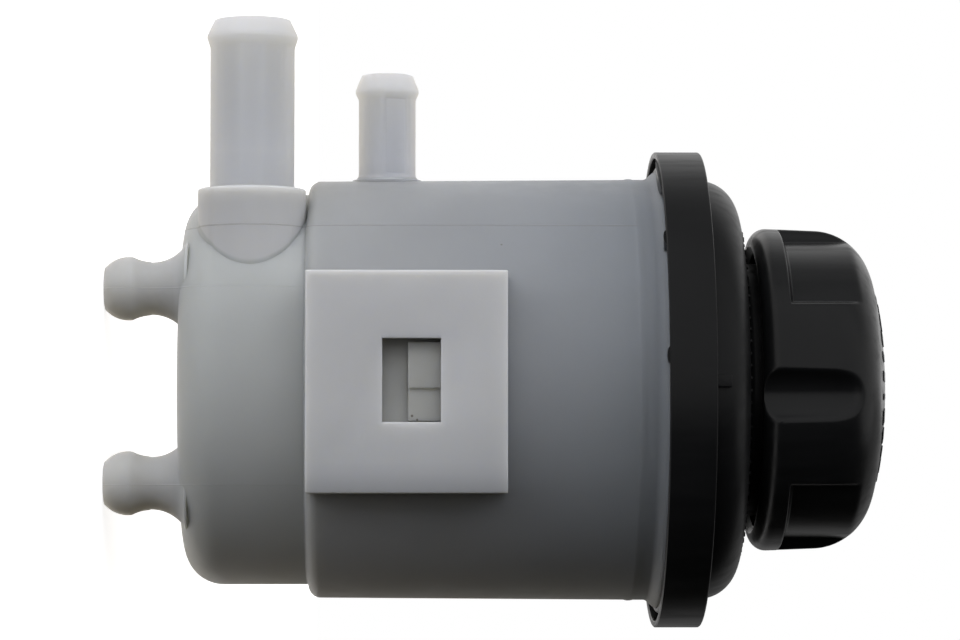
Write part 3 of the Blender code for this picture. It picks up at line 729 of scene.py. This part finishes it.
def pads_on_ring(name, count, radius, height, tilt_deg, size_of, edge):
    """Small raised pads in a ring, sunk by half into the surface that carries them."""
    form = bmesh.new()
    for i in range(count):
        made = bmesh.ops.create_cube(form, size=1.0)
        size = Matrix.Diagonal([length * MM for length in size_of(i)] + [1.0])
        tilt = Matrix.Rotation(math.radians(tilt_deg), 4, "Y")
        out = Matrix.Translation((radius * MM, 0.0, height * MM))
        turn = Matrix.Rotation(math.tau * i / count, 4, "Z")
        bmesh.ops.transform(form, matrix=turn @ out @ tilt @ size, verts=made["verts"])
    bmesh.ops.bevel(form, geom=form.edges[:], offset=edge * MM, segments=2, affect="EDGES")
    return smooth(new_object(name, form))


def pip_size(i):
    """A pip's size across the ring, along it and through the surface; no two alike."""
    length = 0.9 + 0.3 * math.sin(2.3 * i)
    height = PIP_HEIGHT * (1.0 + 0.15 * math.sin(1.7 * i))
    return (length, PIP_WIDTH, height * 2.0)


def mark_size(i):
    """A crown mark's size across the ring, along it and through the surface."""
    return (MARK_DEPTH, MARK_LENGTHS[i % len(MARK_LENGTHS)], MARK_HEIGHT * 2.0)


def crown_radius(apex_z, rim_r, rim_z):
    """Radius of the ball that a crown is part of."""
    rise = apex_z - rim_z
    return (rim_r ** 2 + rise ** 2) / (2.0 * rise)


def crown_arc(apex_z, rim_r, rim_z, inner_r):
    """Points of a low crown, from an inner radius out to its rim."""
    radius = crown_radius(apex_z, rim_r, rim_z)
    rim_deg = math.degrees(math.acos(rim_r / radius))
    inner_deg = math.degrees(math.acos(inner_r / radius))
    return arc((0.0, apex_z - radius), radius, inner_deg, rim_deg, CAP_CROWN_STEPS)


def cap_shoulder():
    """The round shoulder of the cap, from the crown out to the side."""
    return arc((CAP_SHOULDER_R, CAP_SHOULDER_Z), CAP_SHOULDER, CAP_CROWN_DEG, CAP_DRAFT_DEG, 28)


def cap_outline():
    """Section of the filler cap with the boss that holds the dipstick, as a closed loop."""
    shoulder = cap_shoulder()
    rim_centre = (CAP_R - CAP_RIM_ROUND, CAP_RIM_Z + CAP_RIM_ROUND)
    rim = arc(rim_centre, CAP_RIM_ROUND, CAP_DRAFT_DEG, -90.0, 12)
    side_top, side_low = shoulder[-1], rim[0]

    def on_side(height):
        share = (height - side_low[1]) / (side_top[1] - side_low[1])
        return (side_low[0] + (side_top[0] - side_low[0]) * share, height)

    recess_top = on_side(RECESS_LOW_Z + 1.6)
    recess_low = on_side(RECESS_LOW_Z - 0.6)
    outline = crown_arc(CAP_TOP_Z, *shoulder[0], 0.0)[:-1] + shoulder
    outline += filled([side_top, recess_top], 0.6)[1:]
    outline += filled([recess_top, recess_low], 0.2)[1:]
    outline += filled([recess_low, side_low], 0.5)[1:]
    outline += rim[1:]
    outline += [(CAP_MOUTH_R, CAP_RIM_Z), (CAP_BORE, CAP_MOUTH_Z)]
    outline += filled([(CAP_BORE, CAP_MOUTH_Z), (CAP_BORE, CAP_THREAD_Z + LEAD)], 0.3)[1:]
    outline += [(CAP_BORE, CAP_SEAT_Z), (CAP_SEAT_R, CAP_SEAT_Z)]
    outline += crown_arc(CAP_TOP_Z - CAP_TOP_WALL, CAP_SEAT_R, CAP_CEILING_Z, BOSS_R)[::-1]
    outline += [(BOSS_R, BOSS_LOW_Z), (BOSS_BORE, BOSS_LOW_Z)]
    outline += [(BOSS_BORE, CAP_CEILING_Z), (0.0, CAP_CEILING_Z)]
    return outline


def grip(radius, height, angle):
    """The cap's outer radius with its recesses and finger grooves, and the thread inside."""
    if abs(radius - CAP_BORE) < TINY and CAP_MOUTH_Z <= height <= CAP_THREAD_Z + LEAD:
        return radius - THREAD_HEIGHT * thread_rise(height, angle, CAP_THREAD_Z, CAP_THREAD_TURNS)
    if radius < CAP_MOUTH_R + 0.05:
        return radius
    result = radius
    spacing = 360.0 / GRIPS
    reach = CAP_R - GROOVE_DEPTH + GROOVE_R
    for i in range(GRIPS):
        off_recess = abs(angle_from(angle, GRIP_CENTRE_DEG + spacing * (i + 0.5)))
        if off_recess < RECESS_HALF_TOP_DEG + 2.0:
            rise = ramp(off_recess, RECESS_HALF_FLOOR_DEG, RECESS_HALF_TOP_DEG)
            rise = max(rise, 1.0 - ramp(height, RECESS_LOW_Z - 0.2, RECESS_LOW_Z + 1.0))
            floor = RECESS_FLOOR_R + (CAP_R + RECESS_PAST - RECESS_FLOOR_R) * rise
            result = rounded_min(result, floor, 0.5)
        off_groove = math.radians(angle_from(angle, GRIP_CENTRE_DEG + spacing * i))
        bowl = GROOVE_R ** 2 - max(0.0, height - GROOVE_END_Z) ** 2
        half_chord = reach * math.sin(off_groove)
        if bowl > half_chord ** 2 and abs(off_groove) < math.pi / 4.0:
            groove = reach * math.cos(off_groove) - math.sqrt(bowl - half_chord ** 2)
            result = rounded_min(result, groove, 0.7)
    return result


def make_cap():
    """The filler cap with its grip, thread and vent hole."""
    cap = lathe("cap_moulding", cap_outline(), CAP_COLUMNS, shape=grip)
    vent_outline = [(0.0, CAP_TOP_Z + PAST), (VENT_R, CAP_TOP_Z + PAST)]
    vent_outline += [(VENT_R, CAP_CEILING_Z - VENT_SUNK), (0.0, CAP_CEILING_Z - VENT_SUNK)]
    vent = lathe("vent", vent_outline, 24)
    vent.data.transform(Matrix.Translation((VENT_X * MM, 0.0, 0.0)))
    combine(cap, [vent], "DIFFERENCE")
    return smooth(cap, 40.0)


def make_crown_marks():
    """A ring of plain raised marks on the cap's crown."""
    shoulder = cap_shoulder()
    radius = crown_radius(CAP_TOP_Z, *shoulder[0])
    tilt = math.asin(MARK_R / radius)
    height = CAP_TOP_Z - radius + radius * math.cos(tilt)
    return pads_on_ring("crown_marks", MARKS, MARK_R, height, math.degrees(tilt), mark_size, 0.12)


def gauze_thread(form, across, row):
    """One crimped thread of the gauze, along X or across it, which goes over and under the others."""
    radius = GAUZE_THREAD / 2.0
    offset = row * GAUZE_PITCH
    reach = math.sqrt(max(0.0, GAUZE_R ** 2 - offset ** 2))
    count = max(2, int(reach / (GAUZE_PITCH / 2.0)))
    first_over = -1.0 if across else 1.0
    previous = None
    for i in range(-count, count + 1):
        along = i * GAUZE_PITCH / 2.0
        crimp = radius * GAUZE_CRIMP * math.cos(math.pi * (along / GAUZE_PITCH + row)) * first_over
        ring = []
        for k in range(GAUZE_SIDES):
            turn = math.tau * k / GAUZE_SIDES
            side = offset + radius * math.cos(turn)
            height = GAUZE_Z + (crimp + radius * math.sin(turn))
            point = (side, along, height) if across else (along, side, height)
            ring.append(form.verts.new(Vector(point) * MM))
        if previous:
            for k in range(GAUZE_SIDES):
                after = (k + 1) % GAUZE_SIDES
                form.faces.new((previous[k], previous[after], ring[after], ring[k]))
        else:
            form.faces.new(ring)
        previous = ring
    form.faces.new(previous[::-1])


def make_gauze():
    """The woven filter gauze: two sets of crimped threads on a round outline."""
    form = bmesh.new()
    half = int(GAUZE_R / GAUZE_PITCH)
    for across in (False, True):
        for row in range(-half, half + 1):
            gauze_thread(form, across, row)
    bmesh.ops.recalc_face_normals(form, faces=form.faces)
    return smooth(new_object("filter_gauze_weave", form), 60.0)


def feed(tree, socket, value):
    """Give a node's input a value, or link it to another node's output."""
    if isinstance(value, bpy.types.NodeSocket):
        tree.links.new(value, socket)
    else:
        socket.default_value = value


def add_node(tree, kind, values=None, **settings):
    """A shader node with its settings and inputs; an input may be a value or a socket."""
    made = tree.nodes.new(kind)
    for name, value in settings.items():
        setattr(made, name, value)
    for name, value in (values or {}).items():
        feed(tree, made.inputs[name], value)
    return made


def start_material(name):
    """A material with its node tree, its Principled shader and object coordinates."""
    material = bpy.data.materials.new(name)
    material.use_nodes = True
    tree = material.node_tree
    shader = tree.nodes["Principled BSDF"]
    place = add_node(tree, "ShaderNodeTexCoord").outputs["Object"]
    return material, tree, shader, place


def noise(tree, place, scale, detail=2.0, roughness=0.5):
    """Noise at a scale given per metre."""
    values = {"Vector": place, "Scale": scale, "Detail": detail, "Roughness": roughness}
    return add_node(tree, "ShaderNodeTexNoise", values).outputs["Fac"]


def stretch(tree, value, low, high, out_low=0.0, out_high=1.0):
    """Map a range of values to another, held at its ends."""
    values = {"Value": value, "From Min": low, "From Max": high, "To Min": out_low, "To Max": out_high}
    return add_node(tree, "ShaderNodeMapRange", values).outputs["Result"]


def calculate(tree, operation, first, second=0.0):
    """One arithmetic step."""
    made = add_node(tree, "ShaderNodeMath", operation=operation)
    feed(tree, made.inputs[0], first)
    feed(tree, made.inputs[1], second)
    return made.outputs[0]


def together(tree, operation, values):
    """Several values joined by one arithmetic operation."""
    result = values[0]
    for value in values[1:]:
        result = calculate(tree, operation, result, value)
    return result


def vector_step(tree, operation, first, second):
    """One step of vector arithmetic; a dot product gives a number."""
    made = add_node(tree, "ShaderNodeVectorMath", operation=operation)
    feed(tree, made.inputs[0], first)
    feed(tree, made.inputs[1], second)
    return made.outputs["Value" if operation in ("DOT_PRODUCT", "DISTANCE") else "Vector"]


def mix_colour(tree, share, first, second):
    """Blend two colours by a share. The numbers are the sockets' places in the node."""
    made = add_node(tree, "ShaderNodeMix", data_type="RGBA")
    for index, value in ((0, share), (6, first), (7, second)):
        feed(tree, made.inputs[index], value)
    return made.outputs[2]


def alike(tree, value):
    """A vector with one value on all three axes."""
    return add_node(tree, "ShaderNodeCombineXYZ", {"X": value, "Y": value, "Z": value}).outputs["Vector"]


def grey(value, warmth=0.0):
    """A colour of one lightness, warmer or cooler by a little."""
    return (value * (1.0 + warmth), value, value * (1.0 - warmth), 1.0)


def opaque(colour, share=1.0):
    """A colour with its alpha, lighter or darker by a share."""
    return tuple(value * share for value in colour) + (1.0,)


def bump(tree, shader, height, distance, strength=1.0, base=None):
    """Surface relief, on top of an earlier one if given."""
    values = {"Height": height, "Distance": distance, "Strength": strength}
    if base:
        values["Normal"] = base
    result = add_node(tree, "ShaderNodeBump", values).outputs["Normal"]
    tree.links.new(result, shader.inputs["Normal"])
    return result


def line_at(tree, part, position, half_width):
    """1 on a thin plane across an axis, in millimetres, and 0 away from it."""
    off = calculate(tree, "ABSOLUTE", calculate(tree, "SUBTRACT", part, position * MM))
    return stretch(tree, off, half_width * MM, 0.0)


def between(tree, part, low, high, edge=0.2):
    """1 between two positions on an axis, in millimetres, with soft ends."""
    above = stretch(tree, part, (low - edge) * MM, (low + edge) * MM)
    below = stretch(tree, part, (high + edge) * MM, (high - edge) * MM)
    return calculate(tree, "MULTIPLY", above, below)


def fleck(tree, place, centre, half_sizes):
    """1 inside a small ellipsoid in millimetres, and 0 outside it."""
    off = vector_step(tree, "SUBTRACT", place, tuple(value * MM for value in centre))
    scaled = vector_step(tree, "MULTIPLY", off, tuple(1.0 / (size * MM) for size in half_sizes))
    return stretch(tree, vector_step(tree, "DISTANCE", scaled, (0.0, 0.0, 0.0)), 1.0, 0.6)


def colour_along(tree, part, colours):
    """A colour that changes with a distance, from pairs of millimetres and colour."""
    start, end = colours[0][0], colours[-1][0]
    made = add_node(tree, "ShaderNodeValToRGB", {"Fac": stretch(tree, part, start * MM, end * MM)})
    stops = made.color_ramp.elements
    while len(stops) < len(colours):
        stops.new(0.5)
    for stop, (position, colour) in zip(stops, colours):
        stop.position = (position - start) / (end - start)
        stop.color = opaque(colour)
    return made.outputs["Color"]


def scattered_specks(tree, place, scale, size, patch_scale, patch_edge):
    """1 on fine round specks that lie in patches only, and 0 elsewhere."""
    cells = add_node(tree, "ShaderNodeTexVoronoi", {"Vector": place, "Scale": scale}).outputs["Distance"]
    in_patch = stretch(tree, noise(tree, place, patch_scale), *patch_edge)
    return calculate(tree, "MULTIPLY", stretch(tree, cells, *size), in_patch)


def between_mm(tree, value, limits):
    """A rise from 0 at the first of two places in millimetres to 1 at the second."""
    return stretch(tree, value, limits[0] * MM, limits[1] * MM)


def thick_share(tree, parts, below_step, on_peg):
    """1 where the milky plastic is thick: bracket, collar, pipes and pegs."""
    across = calculate(tree, "POWER", parts["X"], 2.0)
    deep = calculate(tree, "POWER", parts["Y"], 2.0)
    radius = calculate(tree, "SQRT", calculate(tree, "ADD", across, deep))
    past_sump = calculate(tree, "MULTIPLY", between_mm(tree, radius, THICK_PAST_SUMP), below_step)
    past_barrel = between_mm(tree, radius, THICK_PAST_BARREL)
    thick = together(tree, "MAXIMUM", [past_barrel, past_sump, on_peg])
    under_flange = stretch(tree, between_mm(tree, parts["Z"], THIN_FLANGE_Z), 1.0, 0.0)
    return calculate(tree, "MULTIPLY", thick, under_flange)


def window_shade_share(tree, parts):
    """1 inside the bracket's window, on the slot's back wall and the catch, where one even colour paints
    the light and shade.
    """
    return together(tree, "MULTIPLY", [
        between(tree, parts["X"], WINDOW_X[0] - WINDOW_MARGIN, WINDOW_X[1] + WINDOW_MARGIN),
        between(tree, parts["Z"], WINDOW_Z[0] - WINDOW_MARGIN, WINDOW_Z[1] + WINDOW_MARGIN),
        between(tree, parts["Y"], SLOT_FRONT_Y, WINDOW_BACK_Y),
    ])


def mould_lines(tree, parts, below_step):
    """The parting line round the tank and the lines of the mould's inserts on the sump."""
    low = line_at(tree, parts["X"], INSERT_LOW_X, INSERT_HALF)
    high = line_at(tree, parts["X"], INSERT_HIGH_X, INSERT_HALF)
    inserts = calculate(tree, "MULTIPLY", below_step, calculate(tree, "MAXIMUM", low, high))
    parting = line_at(tree, parts["X"], PARTING_X, PARTING_HALF)
    parting = calculate(tree, "MULTIPLY", parting, between_mm(tree, parts["Z"], PARTING_TOP_Z))
    return parting, inserts


def natural_plastic():
    """Milky unpigmented plastic: soft inside light, satin skin, faint flow marks and specks, and colours
    that hold painted light and shade.
    """
    material, tree, shader, place = start_material("natural_plastic_looks")
    parts = add_node(tree, "ShaderNodeSeparateXYZ", {"Vector": place}).outputs
    reach = calculate(tree, "MULTIPLY", parts["X"], -1.0)
    on_peg = between_mm(tree, parts["Z"], PEG_COLOUR_Z)
    below_step = between_mm(tree, parts["Z"], (STEP_Z, STEP_Z - 0.5))
    parting, inserts = mould_lines(tree, parts, below_step)
    specks = scattered_specks(tree, place, 120.0, (0.035, 0.015), 60.0, (0.6, 0.64))
    # Pinholes painted dark: painted shade of the holes
    pinhole_shade = together(tree, "MAXIMUM", [fleck(tree, place, *pinhole) for pinhole in PINHOLE_SHADES])
    cloudy = stretch(tree, noise(tree, place, 28.0, 3.0), 0.35, 0.65, 0.965, 1.035)

    # Colour by height, partly painted shade: darker toward the lid
    base = colour_along(tree, parts["Z"], PLASTIC_AND_SHADE_BY_HEIGHT)
    # Thick pieces' colour, with painted shade at the bracket's far edge and painted light toward the pipes
    thick_and_shade_colour = colour_along(tree, reach, THICK_AND_SHADE_BY_REACH)
    base = mix_colour(tree, thick_share(tree, parts, below_step, on_peg), base, thick_and_shade_colour)
    base = mix_colour(tree, on_peg, base, opaque(PEG_PLASTIC))
    # Inside the window: one even colour of painted light and shade
    base = mix_colour(tree, window_shade_share(tree, parts), base, opaque(SHADED_PLASTIC))
    base = vector_step(tree, "MULTIPLY", base, alike(tree, cloudy))
    marks = (
        (specks, 0.6, GRIME_AND_SHADE),
        (pinhole_shade, 0.8, GRIME_AND_SHADE),
        (parting, 0.25, GRIME_AND_SHADE),
        (inserts, 0.15, PEG_PLASTIC),
    )
    for mask, strength, colour in marks:
        base = mix_colour(tree, calculate(tree, "MULTIPLY", mask, strength), base, opaque(colour))
    tree.links.new(base, shader.inputs["Base Color"])

    shader.inputs["Subsurface Weight"].default_value = 1.0
    shader.inputs["Subsurface Radius"].default_value = (1.0, 0.95, 0.8)
    chunky = calculate(tree, "MAXIMUM", on_peg, between_mm(tree, reach, PIPE_GLOW_REACH))
    depth = stretch(tree, chunky, 0.0, 1.0, *INSIDE_LIGHT)
    tree.links.new(depth, shader.inputs["Subsurface Scale"])
    shader.inputs["IOR"].default_value = PLASTIC_IOR
    shader.inputs["Specular IOR Level"].default_value = 0.1
    rough = stretch(tree, noise(tree, place, 240.0, 4.0), 0.3, 0.7, 0.38, 0.5)
    tree.links.new(rough, shader.inputs["Roughness"])
    relief = bump(tree, shader, noise(tree, place, 900.0, 2.0), 0.00002, 0.5)
    relief = bump(tree, shader, noise(tree, place, 90.0, 2.0), 0.0002, 0.3, relief)
    lines = calculate(tree, "MAXIMUM", parting, calculate(tree, "MULTIPLY", inserts, 0.6))
    bump(tree, shader, lines, 0.0001, 0.9, relief)
    return material


def black_plastic(name, gloss, roughness, scratches):
    """Satin black plastic with a fine texture, dust and a few scuffs."""
    material, tree, shader, place = start_material(name)
    mottle = noise(tree, place, 60.0, 3.0)
    base = mix_colour(tree, stretch(tree, mottle, 0.3, 0.7), grey(*BLACKS[0]), grey(*BLACKS[1]))
    dust = scattered_specks(tree, place, 150.0, (0.03, 0.012), 45.0, (0.6, 0.65))
    base = mix_colour(tree, calculate(tree, "MULTIPLY", dust, 0.4), base, grey(DUST_GREY))
    tree.links.new(base, shader.inputs["Base Color"])
    shader.inputs["IOR"].default_value = PLASTIC_IOR
    shader.inputs["Specular IOR Level"].default_value = gloss
    streaks = add_node(tree, "ShaderNodeMapping", {"Vector": place, "Scale": SCUFF_STRETCH})
    scuff = stretch(tree, noise(tree, streaks.outputs["Vector"], 420.0, 4.0, 0.6), 0.45, 0.75)
    rough = calculate(tree, "ADD", roughness, calculate(tree, "MULTIPLY", scuff, scratches))
    tree.links.new(rough, shader.inputs["Roughness"])
    relief = bump(tree, shader, noise(tree, place, 1400.0, 2.0), 0.00002, 0.35)
    bump(tree, shader, noise(tree, place, 120.0, 3.0), 0.0001, 0.25, relief)
    return material


def rubber():
    """Matte black rubber with a bloom."""
    material, tree, shader, place = start_material("seal_rubber_looks")
    bloom = stretch(tree, noise(tree, place, 200.0, 4.0), 0.35, 0.75)
    tree.links.new(mix_colour(tree, bloom, grey(0.012), grey(0.03)), shader.inputs["Base Color"])
    shader.inputs["Roughness"].default_value = 0.75
    bump(tree, shader, noise(tree, place, 1200.0, 3.0), 0.00003, 0.5)
    return material


def white_plastic(name, colour):
    """Plain off-white plastic of the filter."""
    material, tree, shader, place = start_material(name)
    cloudy = stretch(tree, noise(tree, place, 80.0, 3.0), 0.3, 0.7)
    base = mix_colour(tree, cloudy, opaque(colour, 0.9), opaque(colour))
    tree.links.new(base, shader.inputs["Base Color"])
    shader.inputs["Subsurface Weight"].default_value = 0.6
    shader.inputs["Subsurface Scale"].default_value = 0.002
    rough = stretch(tree, noise(tree, place, 300.0, 3.0), 0.3, 0.7, 0.42, 0.58)
    tree.links.new(rough, shader.inputs["Roughness"])
    bump(tree, shader, noise(tree, place, 900.0, 2.0), 0.00003, 0.4)
    return material


def dress(made, material, body=None, replaces=()):
    """Give a piece its material and its place in the model."""
    made.data.materials.clear()
    made.data.materials.append(material)
    if body:
        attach(made, body)
    if replaces:
        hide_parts(*replaces)
    return made


def make_camera():
    """The photograph's view: a long lens, on its side, a little toward the pegs and away from the pipes."""
    middle_column, middle_row = PHOTO_PX[0] / 2.0, PHOTO_PX[1] / 2.0
    aim_x = (middle_row - AXIS_ROW_PX) * MM_PER_PX
    aim_z = (middle_column - ORIGIN_COLUMN_PX) * MM_PER_PX
    aim = Vector((aim_x, 0.0, aim_z))
    yaw, tilt = math.radians(CAMERA_YAW_DEG), math.radians(CAMERA_TILT_DEG)
    back = Vector((math.sin(tilt), -math.cos(tilt) * math.cos(yaw), -math.sin(yaw))).normalized()
    right = Vector((-1.0, 0.0, 0.0)).cross(back).normalized()
    up = back.cross(right)
    data = bpy.data.cameras.new("camera")
    data.sensor_width = SENSOR_WIDTH
    data.lens = FOCAL_PX * SENSOR_WIDTH / PHOTO_PX[0]
    data.clip_start = 0.05
    data.clip_end = 20.0
    camera = bpy.data.objects.new("camera", data)
    bpy.context.scene.collection.objects.link(camera)
    turn = Matrix((right, up, back)).transposed().to_4x4()
    camera.matrix_world = Matrix.Translation((aim + back * FOCAL_PX * MM_PER_PX) * MM) @ turn
    bpy.context.scene.camera = camera
    return camera


def seen_share(tree):
    """1 for camera, glossy and transmission rays, and 0 for the others."""
    path = add_node(tree, "ShaderNodeLightPath")
    seen = calculate(tree, "MAXIMUM", path.outputs["Is Camera Ray"], path.outputs["Is Glossy Ray"])
    return calculate(tree, "MAXIMUM", seen, path.outputs["Is Transmission Ray"])


def strip_light(tree, around, side_deg, focus, colour):
    """A long light beside the tank's axis, full from one side and gone a right angle away from it."""
    side = math.radians(side_deg)
    toward = (-math.sin(side), -math.cos(side), 0.0)
    facing = calculate(tree, "MAXIMUM", vector_step(tree, "DOT_PRODUCT", around, toward), 0.0)
    share = calculate(tree, "POWER", facing, focus)
    return vector_step(tree, "MULTIPLY", alike(tree, share), colour)


def make_world():
    """White surroundings to look at, which light the object from the pipes' side and behind."""
    world = bpy.data.worlds.new("studio")
    bpy.context.scene.world = world
    world.use_nodes = True
    tree = world.node_tree
    white = tree.nodes["Background"]
    white.inputs["Color"].default_value = grey(1.0)
    white.inputs["Strength"].default_value = 1.0
    direction = add_node(tree, "ShaderNodeTexCoord").outputs["Generated"]
    flat = vector_step(tree, "MULTIPLY", direction, (1.0, 1.0, 0.0))
    around = vector_step(tree, "NORMALIZE", flat, (0.0, 0.0, 0.0))
    key = strip_light(tree, around, KEY_SIDE_DEG, KEY_FOCUS, KEY_COLOUR)
    behind = strip_light(tree, around, BACK_SIDE_DEG, BACK_FOCUS, BACK_COLOUR)
    light = vector_step(tree, "ADD", vector_step(tree, "ADD", key, behind), AMBIENT_COLOUR)
    lamp = add_node(tree, "ShaderNodeBackground", {"Color": light, "Strength": 1.0})
    mixed = add_node(tree, "ShaderNodeMixShader", {"Fac": seen_share(tree)})
    tree.links.new(lamp.outputs["Background"], mixed.inputs[1])
    tree.links.new(white.outputs["Background"], mixed.inputs[2])
    output = next(node for node in tree.nodes if node.type == "OUTPUT_WORLD")
    tree.links.new(mixed.outputs["Shader"], output.inputs["Surface"])


def make_floor():
    """The pale floor that the object stands on. Like a light table, it lets light past from below."""
    form = bmesh.new()
    bmesh.ops.create_grid(form, x_segments=1, y_segments=1, size=FLOOR_HALF)
    floor = new_object("floor", form)
    floor.location = (0.0, 0.0, (PEG_TIP_Z - FLOOR_GAP) * MM)
    material, tree, shader, _ = start_material("floor_paper")
    shader.inputs["Base Color"].default_value = grey(0.8)
    shader.inputs["Roughness"].default_value = 0.9
    shader.inputs["Emission Color"].default_value = grey(1.0)
    glow = calculate(tree, "MULTIPLY", seen_share(tree), FLOOR_GLOW)
    tree.links.new(glow, shader.inputs["Emission Strength"])
    floor.data.materials.append(material)
    floor.visible_diffuse = False
    floor.visible_shadow = False


def make_card(name, start_deg, end_deg, lightness):
    """A curved card round the object that shows in its gloss only, between two angles from -Y."""
    form = bmesh.new()
    low_z = PEG_TIP_Z * MM
    count = math.ceil((end_deg - start_deg) / CARD_STEP_DEG)
    previous = None
    for i in range(count + 1):
        angle = math.radians(start_deg + (end_deg - start_deg) * i / count)
        x, y = CARD_RADIUS * math.sin(angle), -CARD_RADIUS * math.cos(angle)
        pair = (form.verts.new((x, y, low_z)), form.verts.new((x, y, CARD_TOP)))
        if previous:
            form.faces.new((previous[0], pair[0], pair[1], previous[1]))
        previous = pair
    card = new_object(name, form)
    card.visible_camera = False
    card.visible_diffuse = False
    card.visible_shadow = False
    material, _, shader, _ = start_material(name + "_felt")
    shader.inputs["Base Color"].default_value = grey(0.004)
    shader.inputs["Roughness"].default_value = 1.0
    shader.inputs["Specular IOR Level"].default_value = 0.0
    shader.inputs["Emission Color"].default_value = grey(1.0)
    shader.inputs["Emission Strength"].default_value = lightness
    card.data.materials.append(material)


def main():
    """Dress the object's pieces, then set up the studio and the camera."""
    natural = natural_plastic()
    lid_black = black_plastic("lid_plastic_looks", **LID_FINISH)
    cap_black = black_plastic("cap_plastic_looks", **CAP_FINISH)
    dress(make_tank(), natural, "tank", ("reservoir_body",))
    dress(make_lid(), lid_black, "tank", ("lid",))
    pips = pads_on_ring("lid_pips", PIPS, PIP_R, PIP_Z, PIP_TILT_DEG, pip_size, 0.1)
    dress(pips, lid_black, "tank")
    dress(make_cap(), cap_black, "cap", ("filler_cap",))
    dress(make_crown_marks(), cap_black, "cap")
    gauze = white_plastic("filter_gauze_looks", GAUZE_WHITE)
    dress(make_gauze(), gauze, "tank", ("filter_mesh",))
    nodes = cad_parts
    dress(nodes["filter_frame"], white_plastic("filter_plastic_looks", FILTER_WHITE))
    dress(nodes["cap_gasket"], rubber())
    dress(nodes["vent_baffle"], cap_black)
    dress(nodes["dipstick"], cap_black)
    make_world()
    make_floor()
    for name, start_deg, end_deg, lightness in CARDS:
        make_card(name, start_deg, end_deg, lightness)
    make_camera()
    bpy.context.scene.view_settings.view_transform = "Standard"


main()
